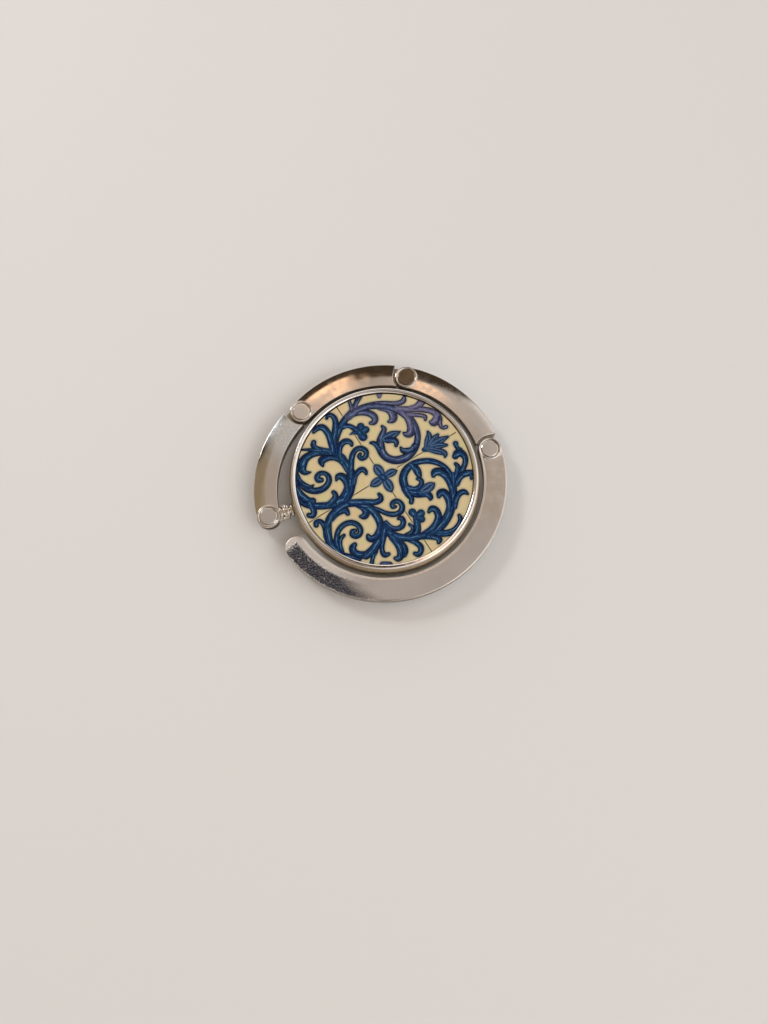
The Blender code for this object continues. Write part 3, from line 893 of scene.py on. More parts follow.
def worn_finish():
    # Plate like the links', with a painted highlight along the inner edge, a satin free end whose paler
    # colour is a painted sheen, and a pitted patch near the free end.
    finish = link_plate("plated_hook", hook_wall_top)
    shader, place, plate, gloss, bump = so_far(finish)
    x, y, z = parts(place)
    radius, angle = maths("SQRT", x * x + y * y), maths("ARCTAN2", y, x)
    # A painted highlight along the inner edge: a pale colour where the chamfer would mirror bright light,
    # rougher there too.
    painted_edge_highlight = spread(radius - inner_radius / mm, *edge_highlight_reach) * spread(z, *edge_highlight_heights)
    on_face = spread(z, *face_heights)
    ragged = noise(place, 3.0, 5, 0.7) - 0.5
    radius = ragged * 2.0 + radius
    angle = ragged * 0.22 + angle
    drawn_out = spread(radius, patch_inner + 1.0, patch_outer - 0.5) * -0.16 + angle
    patch = spread(radius, patch_inner, patch_inner + 0.8) * spread(radius, patch_outer, patch_outer - 0.3) \
        * spread(angle, patch_start - 0.02, patch_start + 0.03) \
        * spread(drawn_out, patch_stop + 0.06, patch_stop - 0.26) * on_face
    patch = patch * spread(noise(place, 1.2, 2), 0.22, 0.40, 0.6, 1)
    # The free end is satin from wear, and its paler colour is a painted sheen.
    satin_and_sheen = spread(angle, patch_stop + 0.05, patch_stop - 0.35) * on_face
    grains = noise(place, 3.4, 3, 0.7)
    pitted = mixed(spread(grains, 0.46, 0.68), (0.027, 0.025, 0.034), (0.33, 0.32, 0.335))
    plate = mixed(satin_and_sheen, plate, (0.86, 0.81, 0.77))
    plate = mixed(painted_edge_highlight, plate, (0.98, 0.94, 0.89))
    rough = larger(larger(satin_and_sheen * 0.34, patch * 0.5), painted_edge_highlight * 0.42)
    give(shader, mixed(patch, plate, pitted), larger(gloss, rough))
    bumped(shader, grains * patch, depth=0.07 * mm, before=bump)
    return finish


hook_turn = math.atan2(hinge_at["hinge_4"].y, hinge_at["hinge_4"].x)
hook = hook_link_mesh(worn_finish())
hook.transform(Matrix.Translation(hinge_at["hinge_4"]) @ Matrix.Rotation(hook_turn, 4, "Z"))
put_in_place("long_hook", hook, "hook", "hook_link")
refinish("hook_magnet", magnet)


# The hinge pins: plated steel rivets. Each has a wide flat head sunk in the upper ear's seat, a shank through
# the fork and the tongue, and a tail spread into the lower ear. The third one is tarnished.

head_clearance = 0.10 * mm
head_bevel_width = 0.12 * mm
head_bevel_drop = 0.05 * mm
rivet_rounding = 0.05 * mm
tarnished_rivet = 3


def rivet_mesh():
    # From the tail's end up to the head's flat top, which a second row of points keeps flat.
    top = half_thickness - pin_head_sink
    head_base = top - pin_head_thickness
    tail_top = pin_tail_thickness - top
    head = pin_head_radius - head_clearance
    outline = [(0, -top), (pin_tail_radius, -top), (pin_tail_radius, tail_top), (pin_radius, tail_top),
               (pin_radius, head_base), (head, head_base), (head, top - head_bevel_drop),
               (head - head_bevel_width, top), (head - 2 * head_bevel_width, top), (0, top)]
    return turned_mesh("hinge_rivet", outline, steel, rivet_rounding, facets=small_facets)


tarnished = plated_finish("tarnished_steel", (0.20, 0.15, 0.105), (0.12, 0.09, 0.06), 0.14, 0.26,
                          steel_wall_top)
rivet_blank = rivet_mesh()
for number, body in enumerate(link_bodies + ("hook",), start=1):
    rivet = rivet_blank.copy()
    rivet.transform(Matrix.Translation(hinge_at["hinge_%d" % number]))
    if number == tarnished_rivet:
        rivet.materials[0] = tarnished
    put_in_place("hinge_rivet_%d" % number, rivet, body, "hinge_pin_%d" % number)


# The printed card: stiff card cut round, laid on its tape and printed with the scrollwork of an old painted
# tile wall. Blue and violet leaf scrolls, with dark edges and pale streaks, stand on a mottled cream ground,
# and thin brown joints between the tiles run behind them. Each leaf is one brush stroke.

card_rings = 170
brush_step = 0.25
brush_fade = 2.2
brush_merge = 0.5
brush_margin = 1
narrowest_brush = 0.03
narrowest_streak = 0.05
streak_bend = 3.0
streak_shift = 0.30
unpainted = -2.0
joint_half_width = 0.09
lip_shadow_shift = 0.07
print_layers = ("ink", "leaf", "side", "shade", "tone", "joint")
print_low, print_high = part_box("print_disc")

# A joint between two tiles is its two ends in millimetres.
tile_joints = (((-11.9, 17.7), (-2.6, 3.2)), ((1.7, -3.3), (11.2, -17.9)), ((17.1, 11.4), (3.0, 2.45)),
               ((-3.8, -2.2), (-17.7, -11.2)))

# A stroke is its tone, and the points along its middle as (x, y, half width) in millimetres. Its tone is
# 0 for blue, more for violet, and less for a pale petal.
brush_strokes = (
    # left ring
    (0, ((-20.8, 4, .4), (-21.2, 1, .5), (-21.1, -2, .5), (-20.6, -4.5, .4))),
    (0, ((-11.6, -6.9, .9), (-10.2, -6.2, 1.3), (-8.9, -4.3, 1.3), (-8.2, -2, 1.2), (-8, .3, 1.1),
        (-8.4, 2, .9), (-9.2, 3.4, .7))),
    (0, ((-21.2, -4.2, .9), (-19.6, -6.1, .9), (-17.5, -7.1, .8), (-15, -7.2, .8), (-12, -6.9, .8))),
    (0, ((-8.8, 2.6, .6), (-10.2, 4.8, .75), (-12, 5.8, .8), (-14, 6.1, .8), (-16.2, 6, .8),
        (-18, 5.4, .85), (-19.3, 4.3, 1), (-19.9, 2.8, 1.1), (-19.7, 1.5, .8), (-18.9, .95, .5),
        (-17.8, 1.1, .15))),
    (0, ((-9, 1.4, .35), (-10.2, 3.5, .5), (-11.7, 4.6, .6), (-13.3, 4.75, .65), (-14.7, 4.4, .9),
        (-15.2, 3.8, .8), (-14.9, 2.7, .25))),
    (0, ((-8.9, -3.4, .5), (-9.1, -1.6, .7), (-9.6, -.4, .9), (-10.4, .15, .85), (-11.2, .05, .6),
        (-11.55, -.8, .25))),
    (0, ((-13.6, -6.9, .5), (-12.3, -6.1, .75), (-11.7, -5.1, .7), (-11.8, -4.2, .55), (-12.2, -3.8, .45))),
    (0, ((-21, .3, .5), (-20.3, -1.3, .6), (-18.6, -3, .75), (-16.3, -3.5, .75), (-14.3, -2.7, .7),
        (-13.35, -1.2, .65), (-13.5, .1, .6), (-14.4, .85, .5), (-15.5, .8, .55), (-16.2, 0, .6),
        (-15.9, -.8, .65), (-15.2, -.8, .6))),
    (0, ((-20.8, 0, .4), (-20.2, -1.2, .5), (-19, -2.1, .5), (-17.8, -2.6, .45), (-17, -2.1, .15))),
    (0, ((-21, -2.6, .5), (-20.4, -4, .8), (-19.3, -5.3, .95), (-18, -6.1, .9), (-17.1, -6, .75))),
    (0, ((-17.8, -6.6, .8), (-17.1, -7.6, .7), (-16.7, -8.7, .65), (-17, -9.6, .6), (-17.9, -9.5, .55))),
    # upper left plant
    (0, ((-10.2, 4.6, .9), (-11.8, 6.2, .8), (-12, 8, .7), (-11.7, 10, .7), (-11, 12, .7),
        (-10.2, 13.7, .8), (-9.2, 15.2, .7), (-8.3, 16.6, .5), (-7.6, 18, .4), (-7, 19.8, .3))),
    (0, ((-12.3, 6, .6), (-12.3, 9, .7), (-12.1, 11.5, .75), (-12, 13.5, .7), (-12.4, 14.9, .6),
        (-13.3, 15.6, .5), (-14, 15.3, .4), (-14.2, 14.7, .3))),
    (0, ((-12.5, 6.3, .6), (-12.9, 8, .7), (-13.4, 10, .75), (-14.2, 11.5, .75), (-15.2, 12.4, .75),
        (-16.4, 12.2, .65), (-17.3, 11.2, .35))),
    (0, ((-13.5, 6.4, .6), (-15, 6.7, .55), (-16.5, 7.1, .55), (-17.3, 7.8, .6), (-17.2, 8.6, .55))),
    (0, ((-15.5, 6.5, .5), (-18, 6.7, .35), (-20.3, 6.7, .15))),
    (0, ((-10.7, 5, .5), (-11, 6.5, .6), (-10.7, 7.8, .65), (-10, 8.7, .7), (-9, 8.95, .65),
        (-8.2, 8.5, .5), (-8, 7.9, .3))),
    (0, ((-10.4, 12.4, .5), (-9.1, 12.9, .5), (-7.8, 12.4, .55), (-6.4, 11.4, .7))),
    (0, ((-8.4, 10.7, .1), (-7.6, 11.1, .35), (-6.4, 11.2, .6))),
    (0, ((-6.2, 11.3, .4), (-6, 12.2, .8), (-5.9, 12.7, .85))),
    (0, ((-6.1, 11.2, .4), (-5.3, 11.6, .8), (-4.7, 11.9, .85))),
    (0, ((-6.1, 11.1, .4), (-5.6, 10.5, .9), (-5.3, 10.1, 1))),
    (0, ((-6.3, 11.3, .7), (-6.1, 11.1, .7))),
    (.4, ((-8, 16.5, .5), (-8.4, 18, .4), (-9, 19.8, .3))),
    (.6, ((-7.6, 17, .4), (-6.9, 18.8, .35), (-5.9, 20.4, .25))),
    # middle left spiral and curl
    (0, ((-8.1, 0, .7), (-8.1, 2.5, .65), (-7.9, 5, .65), (-7.1, 6.7, .6), (-5.8, 7.2, .6), (-4.6, 6.5, .6),
        (-4.6, 5.2, .55), (-5.5, 4.65, .55), (-6.2, 5.2, .45), (-5.9, 5.8, .35))),
    (0, ((-7.2, -1.5, .4), (-7, .2, .5), (-6.3, 1.4, .6), (-5.4, 1.9, .6), (-4.7, 1.5, .5),
        (-4.4, .85, .3))),
    # top arches
    (.8, ((-7, 17.3, .4), (-4, 18.3, .45), (-1, 18.8, .45), (2, 18.7, .5), (3.6, 18.9, .6), (4.4, 19.4, .6),
        (4.6, 20.1, .45))),
    (.5, ((-9, 15, .5), (-7.5, 15.9, .6), (-6, 16.3, .7), (-4.3, 16.2, .75), (-3, 15.6, .8),
        (-2.45, 14.7, .75), (-2.7, 13.8, .6), (-3.5, 13.6, .4))),
    (.7, ((-1.5, 17.5, .5), (.5, 17, .6), (1.7, 16.2, .9), (2, 15.2, .95), (1.8, 14.4, .7), (.9, 14, .3))),
    (.4, ((-9, 15.2, .9), (-7.5, 16.4, .8), (-5, 17.6, .7), (-2, 18, .7), (0, 17.8, .7), (2, 17.3, .7),
        (4, 16.4, .8), (5.8, 15, .9), (7.1, 13, .85), (7.85, 11, .7), (7.85, 9.3, .7), (7.4, 7.6, .75),
        (6.3, 6, .85), (4.9, 4.9, .95), (3.4, 4.35, .95), (1.9, 4.35, .9), (.4, 5, .9), (-.7, 6.3, .95),
        (-1.1, 7.8, 1), (-1.1, 9.2, .85), (-.7, 10.6, .7), (-.3, 11.6, .6), (-.2, 12.2, .5),
        (-.7, 12.8, .3))),
    (.9, ((3.3, 16.9, .4), (4.9, 15.6, .6), (5.9, 14, .75), (6.3, 12.4, .85), (6.1, 11.1, .9),
        (5.2, 10.8, .6), (4.5, 11.2, .2))),
    (-.7, ((-.1, 9.6, .8), (1.2, 10.4, 1), (2.4, 10.9, .75), (3.7, 11.5, .1))),
    (.1, ((.6, 9.2, .6), (2.1, 9.4, .7), (2.8, 8.8, .55), (2.7, 8, .4))),
    (0, ((-1.4, 7, .6), (-1.9, 7.9, .6), (-2.6, 8.5, .5), (-3.4, 8.6, .3))),
    (.2, ((7.3, 8, .7), (6.6, 7, .7), (5.4, 6.6, .75), (4.4, 6.7, .6), (3.8, 7.5, .2))),
    (1, ((3, 17.3, .7), (5, 17.2, .7), (7, 17.3, .7), (9, 17.2, .7), (11, 16.9, .7), (12.4, 16.1, .8),
        (13.1, 15, .75), (13.3, 13.8, .5), (13.6, 12.9, .4), (14.2, 12.6, .4), (14.8, 12.8, .45))),
    (1, ((12.6, 16, .6), (12.5, 14.8, .9), (11.9, 13.9, .9), (11, 14, .3))),
    (1, ((6, 17.6, .4), (7.6, 17.9, .7), (8.7, 18.9, .85), (9.4, 20, .9))),
    (.9, ((5.5, 16, .4), (7.2, 15.8, .45), (8.6, 15.7, .45), (9.7, 15.4, .45), (9.8, 14.6, .3))),
    (1, ((-1.5, 21.2, .65), (-1.5, 20.4, .35))),
    # fan
    (0, ((9.5, 7, .5), (11, 7.4, .8))),
    (-.8, ((10, 7.5, .5), (10.4, 9.2, .75), (10.7, 10.6, .6), (10.4, 11.5, .25))),
    (-.8, ((10.8, 8, .5), (11.9, 9.6, .8), (12.8, 10.8, .3))),
    (-.8, ((11, 7.8, .5), (13.1, 9.2, .85), (15.2, 10.3, .25))),
    (-.8, ((11, 7.5, .5), (13.2, 8.1, .75), (14.9, 8.2, .3))),
    (-.6, ((10.5, 7.2, .6), (12.5, 6.7, .75), (14, 6.4, .7), (14.6, 5.9, .5), (14.5, 5.2, .2))),
    # right edge leaves
    (0, ((18.2, 6.9, .6), (17.4, 7.7, .45), (17.1, 8.6, .6))),
    (0, ((17.4, 0, .6), (18.5, 1.8, .65), (19.3, 3.5, .6), (19.4, 5, .65), (18.6, 6.1, .85),
        (17.6, 6.2, .9), (17, 5.4, .7))),
    (0, ((16.8, 0, .6), (17.4, 1.5, .55), (17.6, 2.8, .55), (17.1, 3.5, .4))),
    (0, ((17.3, -1.5, .6), (18, .2, .75), (19.2, 1.1, .8), (20.9, 1.3, .7))),
    (0, ((20.7, .6, .25), (20.8, -.1, .3))),
    # C scroll
    (0, ((16.4, -1, .4), (15.8, 1, .5), (14.2, 2.9, .55), (11.8, 4, .65), (9.5, 4.15, .65), (7.2, 3.6, .7),
        (5.5, 2.3, .85), (4.6, .7, .9), (4.5, -1, .95), (5.1, -2.6, .9), (6.2, -3.6, .95), (8, -3.8, 1.1),
        (9.2, -3.8, 1))),
    (0, ((8.6, -3.8, 1), (10.2, -4, .8), (11, -4.8, .6), (10.9, -5.4, .25))),
    (0, ((4.9, -2.8, .8), (5.7, -4.2, .7), (6.5, -5.2, .55), (6.4, -6.1, .5))),
    (0, ((6.3, 3.2, .6), (7.3, 2.5, .8), (7.9, 1.5, .85), (8.3, .5, .6))),
    (-.7, ((9.3, -3.2, .8), (10.2, -2.6, 1.1), (11, -2.1, .95), (11.9, -1.4, .15))),
    (0, ((5.6, -2.4, .5), (7.2, -2.9, .6), (8.4, -2.3, .6), (8.9, -1.3, .55), (8.6, -.5, .5),
        (7.9, -.3, .35))),
    # right stem and its leaves
    (0, ((16.4, 1, .4), (16.5, -1, .65), (16.4, -3.5, .9), (16.1, -6, 1.05), (15.6, -8.2, 1),
        (14.6, -10.3, 1), (13, -12.3, 1), (11.2, -13.6, .9), (9, -14.3, .8))),
    (0, ((16.2, -3.6, .5), (15.6, -1.2, .7), (14.6, .6, .85), (13.3, 1.5, .95), (12.1, 1.4, .85),
        (11.7, .5, .45))),
    (0, ((15.4, -8, .5), (15.5, -6, .8), (15, -4.5, .9), (14.2, -3.6, .85), (13.3, -3.8, .8),
        (13, -4.6, .45))),
    (0, ((16.8, -7.2, .5), (17.2, -5, .65), (18, -3.8, .65), (19, -3.4, .6), (19.9, -3.9, .25))),
    (0, ((9.4, -13.8, .6), (11.1, -12.7, .7), (12.4, -11.2, .8), (12.9, -9.5, .8), (12.3, -8, .75),
        (11.3, -7.6, .65), (10.6, -8.4, .35))),
    (0, ((12.6, -13.4, .5), (15, -13.3, .55), (16.6, -12.6, .5), (17.8, -11.2, .5), (18.1, -10, .5),
        (17.8, -9.2, .35))),
    (0, ((12.5, -13.9, .5), (14.5, -13.9, .45), (16.2, -13.5, .4), (17.4, -12.4, .3))),
    (0, ((9, -14.5, .5), (11, -14.5, .55), (12.4, -14.6, .65), (13.1, -15.1, .65), (12.9, -15.8, .4))),
    # lower middle spiral and curl
    (0, ((-2.8, -7.4, .35), (-1.2, -8.1, .45), (.3, -8.8, .5), (1.8, -9.1, .6), (3.2, -8.9, .6),
        (4.1, -8.1, .65), (4.2, -6.9, .6), (3.5, -6, .55), (2.6, -5.9, .55), (1.85, -6.5, .5),
        (2, -7.3, .45), (2.7, -7.2, .3))),
    (0, ((.4, -11, .4), (1.6, -12.3, .55), (3, -12.6, .55), (4.2, -12, .6), (4.55, -10.9, .6),
        (4.1, -10, .55), (3.4, -10.1, .35))),
    # lower flower
    (0, ((6, -11.5, .3), (6.8, -12.3, .4), (6.5, -13.4, .45), (5.2, -14.2, .5))),
    (0, ((7.7, -10.2, .8), (7.9, -12, .75), (7.9, -13.2, .7), (7, -14.2, .6))),
    (0, ((7.5, -9.7, .5), (6.7, -8.6, .9))),
    (0, ((7.7, -9.6, .5), (8.7, -8.8, .9))),
    (0, ((7.8, -9.8, .5), (8.85, -10.2, .8))),
    # bottom right band and leaves
    (0, ((5.8, -15.2, .5), (7.4, -15.8, .6), (8.6, -16.8, .65), (8.7, -17.9, .6), (8.1, -18.7, .6),
        (7.3, -18.5, .4))),
    (0, ((3.4, -15.6, .5), (4.6, -16.6, .6), (5.1, -17.8, .6), (4.9, -19, .4))),
    (0, ((0, -12.5, .9), (1.5, -13.8, .9), (3.5, -14.6, .85), (5.5, -14.8, .8), (7.5, -14.6, .8),
        (9.5, -14.1, .7))),
    (0, ((1.8, -14.6, .7), (3.2, -16.2, .8), (3.9, -17.6, .85), (4, -18.9, .85), (3.4, -19.8, .65),
        (2.7, -19.7, .4))),
    (.9, ((-.2, -21.3, .75), (1.3, -21.3, .75))),
    # lower left scroll
    (0, ((-2.2, -18, .8), (-2.6, -19.5, .45), (-2.9, -21.2, .45))),
    (0, ((-12.6, -17.3, .9), (-10.5, -18.9, .9), (-8.5, -19.6, .9), (-6, -19.7, .8))),
    (0, ((-10.3, -18.5, .9), (-11.1, -16.8, .7), (-11.2, -14.8, .6), (-10.7, -13, .6), (-9.5, -11.7, .6),
        (-8, -11.2, .6), (-6.5, -11.6, .6), (-5.6, -12.8, .6), (-5.8, -14, .6), (-6.7, -14.5, .6),
        (-7.5, -14.1, .6), (-7.5, -13.3, .5), (-6.8, -13.1, .4))),
    (0, ((-9.8, -18.2, .4), (-10.4, -16.6, .5), (-10.3, -15.2, .5), (-9.5, -14.3, .35))),
    (0, ((-13.6, -14.5, .7), (-13.9, -12.8, .6), (-14.6, -11.4, .55), (-15.5, -10.9, .5),
        (-16.2, -11.3, .5), (-16.1, -11.9, .55))),
    (0, ((-13.2, -10.5, .7), (-13.4, -12.5, .9), (-13.3, -14.3, .95), (-12.8, -16, .85), (-11.8, -17.6, .8),
        (-10, -18.9, .8))),
    (0, ((-12.5, -10.4, .6), (-11.6, -9.1, .8), (-10.3, -8.4, .75), (-9.2, -8.2, .7), (-8.7, -9, .5))),
    (0, ((-6.5, -6.8, .6), (-5, -7.5, .75), (-4.3, -8.6, .85), (-4.7, -9.6, .75), (-5.6, -9.7, .35))),
    (0, ((-4.2, -18.9, .8), (-5.8, -19, .9), (-7, -18.4, .85), (-7.4, -17.3, .75), (-6.9, -16.5, .5))),
    (0, ((-13.3, -11.8, .7), (-13, -10.4, .8), (-12, -8.9, .85), (-10.5, -7.5, .8), (-8.5, -6.6, .8),
        (-6.3, -6.5, .8), (-4.4, -7.1, .85), (-2.8, -8.3, .85), (-1.6, -9.8, .85), (-.9, -11.5, .85),
        (-.8, -13.4, .85), (-1.3, -15.5, .85), (-2.4, -17.5, .95), (-4.2, -19.1, .9))),
    (0, ((-1, -11.5, .5), (-1.2, -13.2, .7), (-1.9, -14.6, .8), (-2.8, -15.1, .8), (-3.5, -14.9, .7),
        (-3.8, -14.3, .4))),
    (0, ((.2, -12.5, .8), (-.2, -14.5, .75), (-.4, -16.5, .5), (-.4, -18, .55), (.2, -18.9, .6),
        (1.1, -18.7, .4))),
    (0, ((-8, -6.3, .7), (-5.5, -6.2, .75), (-3.5, -6.2, .7), (-1.9, -6.1, .65), (-.9, -5.5, .6),
        (-.9, -4.7, .5), (-1.3, -4.2, .35))),
    # centre flower
    (-.8, ((-.5, .4, .4), (-1.15, 1.3, 1.05), (-1.6, 2, 1.05), (-2, 2.55, .6), (-2.4, 3.1, .03))),
    (-.7, ((0, .2, .4), (1, .85, .85), (1.8, 1.25, .85), (2.4, 1.5, .5), (3, 1.75, .03))),
    (-.8, ((0, -.4, .4), (.7, -1.5, 1.05), (1.15, -2.4, 1), (1.45, -3, .55), (1.8, -3.65, .03))),
    (-.7, ((-.6, -.3, .4), (-1.5, -.95, .95), (-2.2, -1.45, .95), (-2.8, -1.85, .55), (-3.4, -2.2, .03))),
    (0, ((-.6, .1, .8), (-.2, -.2, .8))),
)


def ring_net(radius, rings, base, top):
    # A closed disc whose top is a fine net of rings, so that the print's edges stay sharp on it.
    places = [(0, 0, top)]
    for ring in range(1, rings + 1):
        count = 6 * ring
        reach = radius * ring / rings
        places += [(reach * math.cos(math.tau * i / count), reach * math.sin(math.tau * i / count), top)
                   for i in range(count)]
    faces = []
    for ring in range(1, rings + 1):
        outer = 1 + 3 * ring * (ring - 1)
        inner = outer - 6 * (ring - 1)
        for sector in range(6):
            for i in range(ring):
                first = outer + sector * ring + i
                second = outer + (sector * ring + i + 1) % (6 * ring)
                below = inner + (sector * (ring - 1) + i) % max(1, 6 * (ring - 1)) if ring > 1 else 0
                faces.append((first, second, below))
                if i < ring - 1:
                    beside = inner + (sector * (ring - 1) + i + 1) % (6 * (ring - 1))
                    faces.append((below, second, beside))
    count = 6 * rings
    edge = len(places) - count
    low = len(places)
    places += [(x, y, base) for x, y, _ in places[edge:]]
    faces += [(low + i, low + (i + 1) % count, edge + (i + 1) % count, edge + i) for i in range(count)]
    faces.append(tuple(range(low + count - 1, low - 1, -1)))
    mesh = bpy.data.meshes.new("printed_card")
    mesh.from_pydata(places, [], faces)
    return mesh


def brush_path(points):
    # A smooth path through a stroke's points, with its half width at each place.
    given = np.array(points, float)
    given = np.vstack([2 * given[0] - given[1], given, 2 * given[-1] - given[-2]])
    rows = []
    for a, b, c, d in zip(given, given[1:], given[2:], given[3:]):
        count = max(2, math.ceil(np.linalg.norm((c - b)[:2]) / brush_step))
        t = np.linspace(0, 1, count, endpoint=False)[:, None]
        rows.append(b + ((c - a) * t + (2 * a - 5 * b + 4 * c - d) * t ** 2
                         + (3 * b - a - 3 * c + d) * t ** 3) / 2)
    path = np.vstack(rows + [given[-2:-1]])
    path[:, 2] = np.maximum(path[:, 2], narrowest_brush)
    return path


def line_share(offset, along):
    # How far along a line, from 0 to 1, the nearest point to each place lies.
    return np.clip((offset * along).sum(-1) / np.maximum((along ** 2).sum(-1), net_exactness), 0, 1)


def paint(places):
    # For each place: how deep it lies in any stroke and in the uppermost one, how far from that stroke's pale
    # streak and how far towards its dark outer side, its tone, and how deep in a joint. Depths are in
    # millimetres, and negative outside. The streak runs nearer to the inner side of a bend.
    ink, leaf, joint = (np.full(len(places), unpainted) for _ in range(3))
    side, shade, tones = (np.zeros(len(places)) for _ in range(3))
    for tone, points in brush_strokes:
        path = brush_path(points)
        reach = path[:, 2].max() + brush_margin
        low, high = path[:, :2].min(0) - reach, path[:, :2].max(0) + reach
        near = np.where(((places >= low) & (places <= high)).all(1))[0]
        start, along = path[:-1], path[1:, :2] - path[:-1, :2]
        heading = np.unwrap(np.arctan2(along[:, 1], along[:, 0]))
        bend = np.clip(np.gradient(heading) / brush_step * streak_bend, -1, 1)
        offset = places[near][:, None] - start[None, :, :2]
        share = line_share(offset, along)
        away = offset - share[..., None] * along
        distance = np.linalg.norm(away, axis=2)
        width = start[:, 2] + share * (path[1:, 2] - start[:, 2])
        row, best = np.arange(len(near)), (width - distance).argmax(1)
        depth = (width - distance)[row, best]
        turn = np.sign(along[best, 0] * away[row, best, 1] - along[best, 1] * away[row, best, 0])
        ink[near] = np.maximum(ink[near], depth)
        over = (depth > 0) | ((depth > leaf[near]) & (leaf[near] <= 0))
        run = (best + share[row, best]) * brush_step
        merged = depth + np.clip(1 - run / brush_fade, 0, 1) * brush_merge
        chosen = near[over]
        leaf[chosen] = np.where(depth > 0, merged, depth)[over]
        across = turn * distance[row, best] / np.maximum(width[row, best], narrowest_streak)
        side[chosen] = (across - streak_shift * bend[best])[over]
        shade[chosen] = (-across * bend[best])[over]
        tones[chosen] = tone
    for start, stop in tile_joints:
        offset, along = places - start, np.subtract(stop, start)
        distance = np.linalg.norm(offset - line_share(offset, along)[:, None] * along, axis=1)
        joint = np.maximum(joint, joint_half_width - distance)
    return zip(print_layers, (ink, leaf, side, shade, tones, joint))


def print_finish():
    # The cream ground with its joints and a greenish rim round the leaves, and the leaves over it: their
    # colour, a lighter middle, pale streaks, veins on the petals, a shaded side and a dark edge.
    finish, shader, place = new_finish("printed_card", (0.66, 0.50, 0.27), 0.45)
    shader.inputs["Specular IOR Level"].default_value = 0.0
    ink, leaf, side, shade, tone, joint = (
        worked(place.tree, "ShaderNodeAttribute", {}, "Fac", attribute_name=layer) for layer in print_layers)
    x, y, _ = parts(place)
    ground = mixed(spread(noise(place, 0.16, 2), 0.4, 0.62), (0.92, 0.77, 0.46), (0.93, 0.73, 0.43))
    ground = mixed(spread(noise(place, 0.30, 3), 0.5, 0.72), ground, (0.85, 0.79, 0.40))
    ground = mixed(spread(noise(place, 2.4, 4), 0.5, 0.8, 0, 0.35), ground, (0.74, 0.60, 0.33))
    ground = mixed(spread(joint, -0.12, 0.05), ground, (0.050, 0.026, 0.010))
    ground = mixed(spread(ink, -0.70, -0.12, 0, 0.65), ground, (0.46, 0.47, 0.36))
    violet, pale = larger(tone, 0.0), larger(tone * -1.0, 0.0)
    blue = mixed(spread(noise(place, 0.35, 3), 0.38, 0.64), (0.001, 0.020, 0.110), (0.001, 0.034, 0.100))
    purple = mixed(spread(noise(place, 1.2, 3), 0.4, 0.7), (0.110, 0.104, 0.216), (0.185, 0.182, 0.340))
    leaves = mixed(violet * spread(y, 6, 15, 0.3, 0.95), blue, purple)
    leaves = mixed(pale, leaves, (0.040, 0.100, 0.240))
    inside = spread(leaf, 0.16, 0.40)
    painted = inside * (1.0 - pale)
    across = abs(side - spread(noise(place, 0.8, 2), 0.3, 0.7, -0.16, 0.16))
    middle = mixed(violet, (0.003, 0.055, 0.195), (0.178, 0.176, 0.345))
    leaves = mixed(spread(across, 0.55, 0.12, 0, 0.75) * painted, leaves, middle)
    streaks = larger(spread(across, 0.19, 0.02), spread(abs(across - 0.50), 0.12, 0.02, 0, 0.25))
    streaks = streaks * spread(noise(place, 1.1, 3), 0.36, 0.60, 0.20, 1) * painted
    leaves = mixed(streaks, leaves, mixed(violet, (0.150, 0.370, 0.600), (0.420, 0.430, 0.600)))
    rib = abs(side)
    petal = mixed(spread(abs(rib - 0.45), 0.16, 0.04, 0, 0.8), leaves, (0.160, 0.280, 0.450))
    petal = mixed(spread(rib, 0.16, 0.06), petal, (0.003, 0.010, 0.045))
    leaves = mixed(spread(pale, 0.3, 0.6) * inside, leaves, petal)
    leaves = mixed(spread(shade, 0.15, 0.60, 0, 0.8) * painted, leaves, (0.001, 0.010, 0.045))
    leaves = mixed(spread(leaf, 0.08, 0.26, 0.15, 1), (0.001, 0.003, 0.012), leaves)
    printed = mixed(spread(ink, -0.20, -0.03), ground, leaves)
    # The shadow that the lip casts on the card's edge is a little wider at the back.
    back = y + lip_shadow_shift
    reach = maths("SQRT", x * x + back * back) - face_radius / mm
    give(shader, mixed(spread(reach, -0.28, -0.12), printed, (0.018, 0.011, 0.007)),
         spread(noise(place, 3.0), 0.3, 0.7, 0.4, 0.55))
    return finish


card = ring_net(face_radius, card_rings, print_low.z, print_high.z)
card_places = np.zeros(len(card.vertices) * 3)
card.vertices.foreach_get("co", card_places)
for layer, values in paint(card_places.reshape(-1, 3)[:, :2] / mm):
    card.attributes.new(layer, "FLOAT", "POINT").data.foreach_set("value", values)
card.materials.append(print_finish())
put_in_place("printed_card", outwards(card), "disc", "print_disc")
refinish("print_tape", tape)


# The clear cover: resin poured over the card inside the lip. It is level with the lip and very slightly
# crowned, and its skin is glossy.

cover_low, cover_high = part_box("clear_dome")
cover_crown = 0.12 * mm
cover_rings = 10


def cover_outline():
    # A flat underside, a straight wall and a top that swells towards the middle.
    edge = cover_high.z - cover_crown
    shares = [1 - i / cover_rings for i in range(cover_rings + 1)]
    top = [(face_radius * share, edge + cover_crown * (1 - share ** 2)) for share in shares]
    return [(0, cover_low.z), (face_radius, cover_low.z)] + top


def resin_finish():
    finish, shader, place = new_finish("clear_resin", (1.0, 1.0, 1.0), 0.03)
    shader.inputs["Transmission Weight"].default_value = 1.0
    shader.inputs["IOR"].default_value = 1.2
    handled = spread(noise(place, 0.5, 4), 0.45, 0.8, 0.02, 0.07)
    handled.tree.links.new(handled.socket, shader.inputs["Roughness"])
    return finish


cover = turned_mesh("clear_cover", cover_outline(), resin_finish(), 0)
put_in_place("clear_cover", cover, "disc", "clear_dome")


# The studio: a pale floor under the hook, two broad soft lamps, and a pale sky whose soft patches are what
# the polished faces mirror. The camera looks down from nearly overhead, a little from the front.

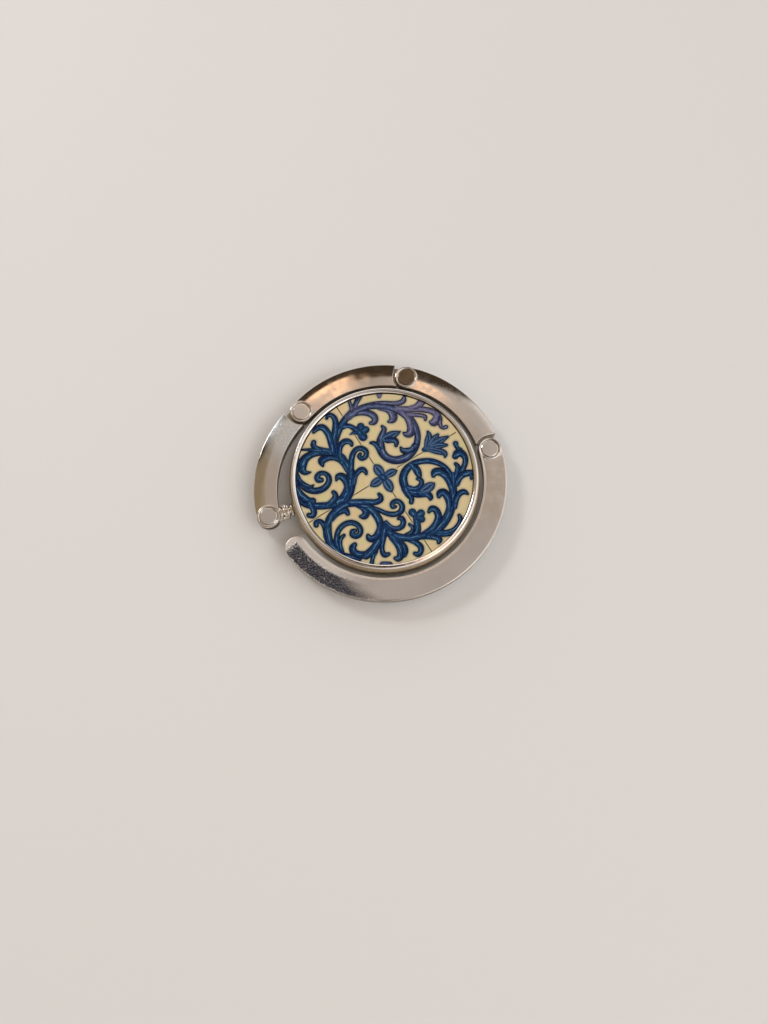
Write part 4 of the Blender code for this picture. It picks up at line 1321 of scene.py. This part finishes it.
floor_reach = 1.5
floor_drop = 0.02 * mm
camera_elevation_degrees = 76.94
camera_roll_degrees = 0.5
camera_distance = 227.63 * mm
camera_aim = Vector((-0.07, -8.70, 7.8)) * mm
camera_lens = 33.75
camera_sensor_width = 36
camera_clip_start = 0.01


def studio_floor():
    mesh = bpy.data.meshes.new("floor")
    corners = [(x * floor_reach, y * floor_reach, -floor_drop)
               for x, y in ((-1, -1), (1, -1), (1, 1), (-1, 1))]
    mesh.from_pydata(corners, [], [(0, 1, 2, 3)])
    paint = bpy.data.materials.new("floor_paint")
    paint.use_nodes = True
    shader = paint.node_tree.nodes["Principled BSDF"]
    shader.inputs["Base Color"].default_value = (0.80, 0.79, 0.78, 1)
    shader.inputs["Roughness"].default_value = 0.7
    mesh.materials.append(paint)
    new_object("floor", mesh)


def soft_lamp(name, place, size, power):
    data = bpy.data.lights.new(name, "AREA")
    data.shape = "DISK"
    data.size = size
    data.energy = power
    lamp = new_object(name, data)
    lamp.location = place
    lamp.rotation_euler = Vector(place).to_track_quat("Z", "Y").to_euler()


def paint_sky(tree):
    # A grey ceiling overhead and pale walls all round, with soft patches: tan on the left, dark in front, and
    # towards the back a warm one before a brown screen. Places are given by their slopes from overhead.
    x, y, z = parts(worked(tree, "ShaderNodeTexCoord", {}, "Generated"))
    level = larger(z, 0.05)
    right, ahead = maths("DIVIDE", x, level), maths("DIVIDE", y, level)
    back = ahead * 0.8 - right * 0.6
    lean = right + ahead * 0.305
    ceiling = mixed(spread(ahead, 0.18, 0.25), (0.56, 0.525, 0.515), (0.52, 0.45, 0.40))
    ceiling = mixed(spread(ahead, 0.28, 0.36), ceiling, (0.66, 0.61, 0.575))
    glow = spread(right, 0.13, 0.17) * spread(ahead, 0.335, 0.31)
    ceiling = mixed(glow, ceiling, (0.98, 0.94, 0.91))
    sky = mixed(spread(z, 0.90, 0.76), ceiling, (1.24, 1.22, 1.20))
    leftward = spread(right * 0.62 + ahead, 0.14, -0.04)
    tan = spread(right, -0.17, -0.24) * spread(right, -0.70, -0.55) * spread(ahead, 0.36, 0.30)
    far_left = spread(right, -0.50, -0.70) * larger(leftward, spread(ahead, 0.95, 0.75))
    sky = mixed(larger(tan, far_left), sky, (0.44, 0.345, 0.225))
    dark_front = spread(ahead, 0.10, 0.03) * spread(ahead, -0.75, -0.60) * spread(right, 0.08, 0.0) \
        * spread(right, -0.60, -0.40)
    sky = mixed(dark_front, sky, (0.20, 0.150, 0.115))
    sky = mixed(spread(ahead, -0.8, -1.5, 0, 0.8), sky, (0.46, 0.385, 0.33))
    bright_back = spread(back, 1.0, 1.4) * (1.0 - leftward)
    sky = mixed(bright_back, sky, (1.40, 1.36, 1.32))
    low_left = spread(right, -0.11, -0.14) * spread(ahead, 0.41, 0.38)
    near_boss = spread(right * 0.70 + ahead * 0.713, 0.214, 0.207)
    warm = spread(back, 0.303, 0.318) * spread(back, 0.62, 0.50) * spread(lean, 0.079, 0.068) \
        * (1.0 - low_left) * (1.0 - near_boss)
    corner = spread(right, 0.028, 0.034) * spread(right, 0.080, 0.045) * spread(ahead, 0.345, 0.365, 0, 0.9)
    sky = mixed(larger(warm, corner), sky, (2.08, 1.35, 0.87))
    start = back + spread(lean, 0.070, 0.083, 0, 0.235) + low_left * 0.17
    screen = spread(start, 0.525, 0.575) * spread(back, 1.2, 0.85)
    brown = mixed(spread(ahead, 0.36, 0.43), (0.34, 0.27, 0.18), (0.062, 0.042, 0.026))
    sky = mixed(screen, sky, brown)
    sky = mixed(spread(z, 0.24, 0.12), sky, (0.62, 0.59, 0.56))
    tree.links.new(sky.socket, tree.nodes["Background"].inputs["Color"])


studio_floor()
soft_lamp("left_lamp", (-0.40, 0.34, 0.46), size=0.16, power=0.82)
soft_lamp("right_lamp", (0.40, -0.25, 0.50), size=0.40, power=0.50)
world = bpy.data.worlds.new("studio_sky")
world.use_nodes = True
paint_sky(world.node_tree)
bpy.context.scene.world = world
bpy.context.scene.view_settings.view_transform = "Standard"


def place_camera():
    elevation = math.radians(camera_elevation_degrees)
    roll = math.radians(camera_roll_degrees)
    forward = Vector((0, math.cos(elevation), -math.sin(elevation)))
    level = Vector((1, 0, 0))
    upright = level.cross(forward)
    right = level * math.cos(roll) + upright * math.sin(roll)
    up = upright * math.cos(roll) - level * math.sin(roll)
    data = bpy.data.cameras.new("camera")
    data.lens = camera_lens
    data.sensor_width = camera_sensor_width
    data.clip_start = camera_clip_start
    camera = new_object("camera", data)
    turned = Matrix((right, up, -forward)).transposed().to_4x4()
    camera.matrix_world = Matrix.Translation(camera_aim - forward * camera_distance) @ turned
    bpy.context.scene.camera = camera


place_camera()
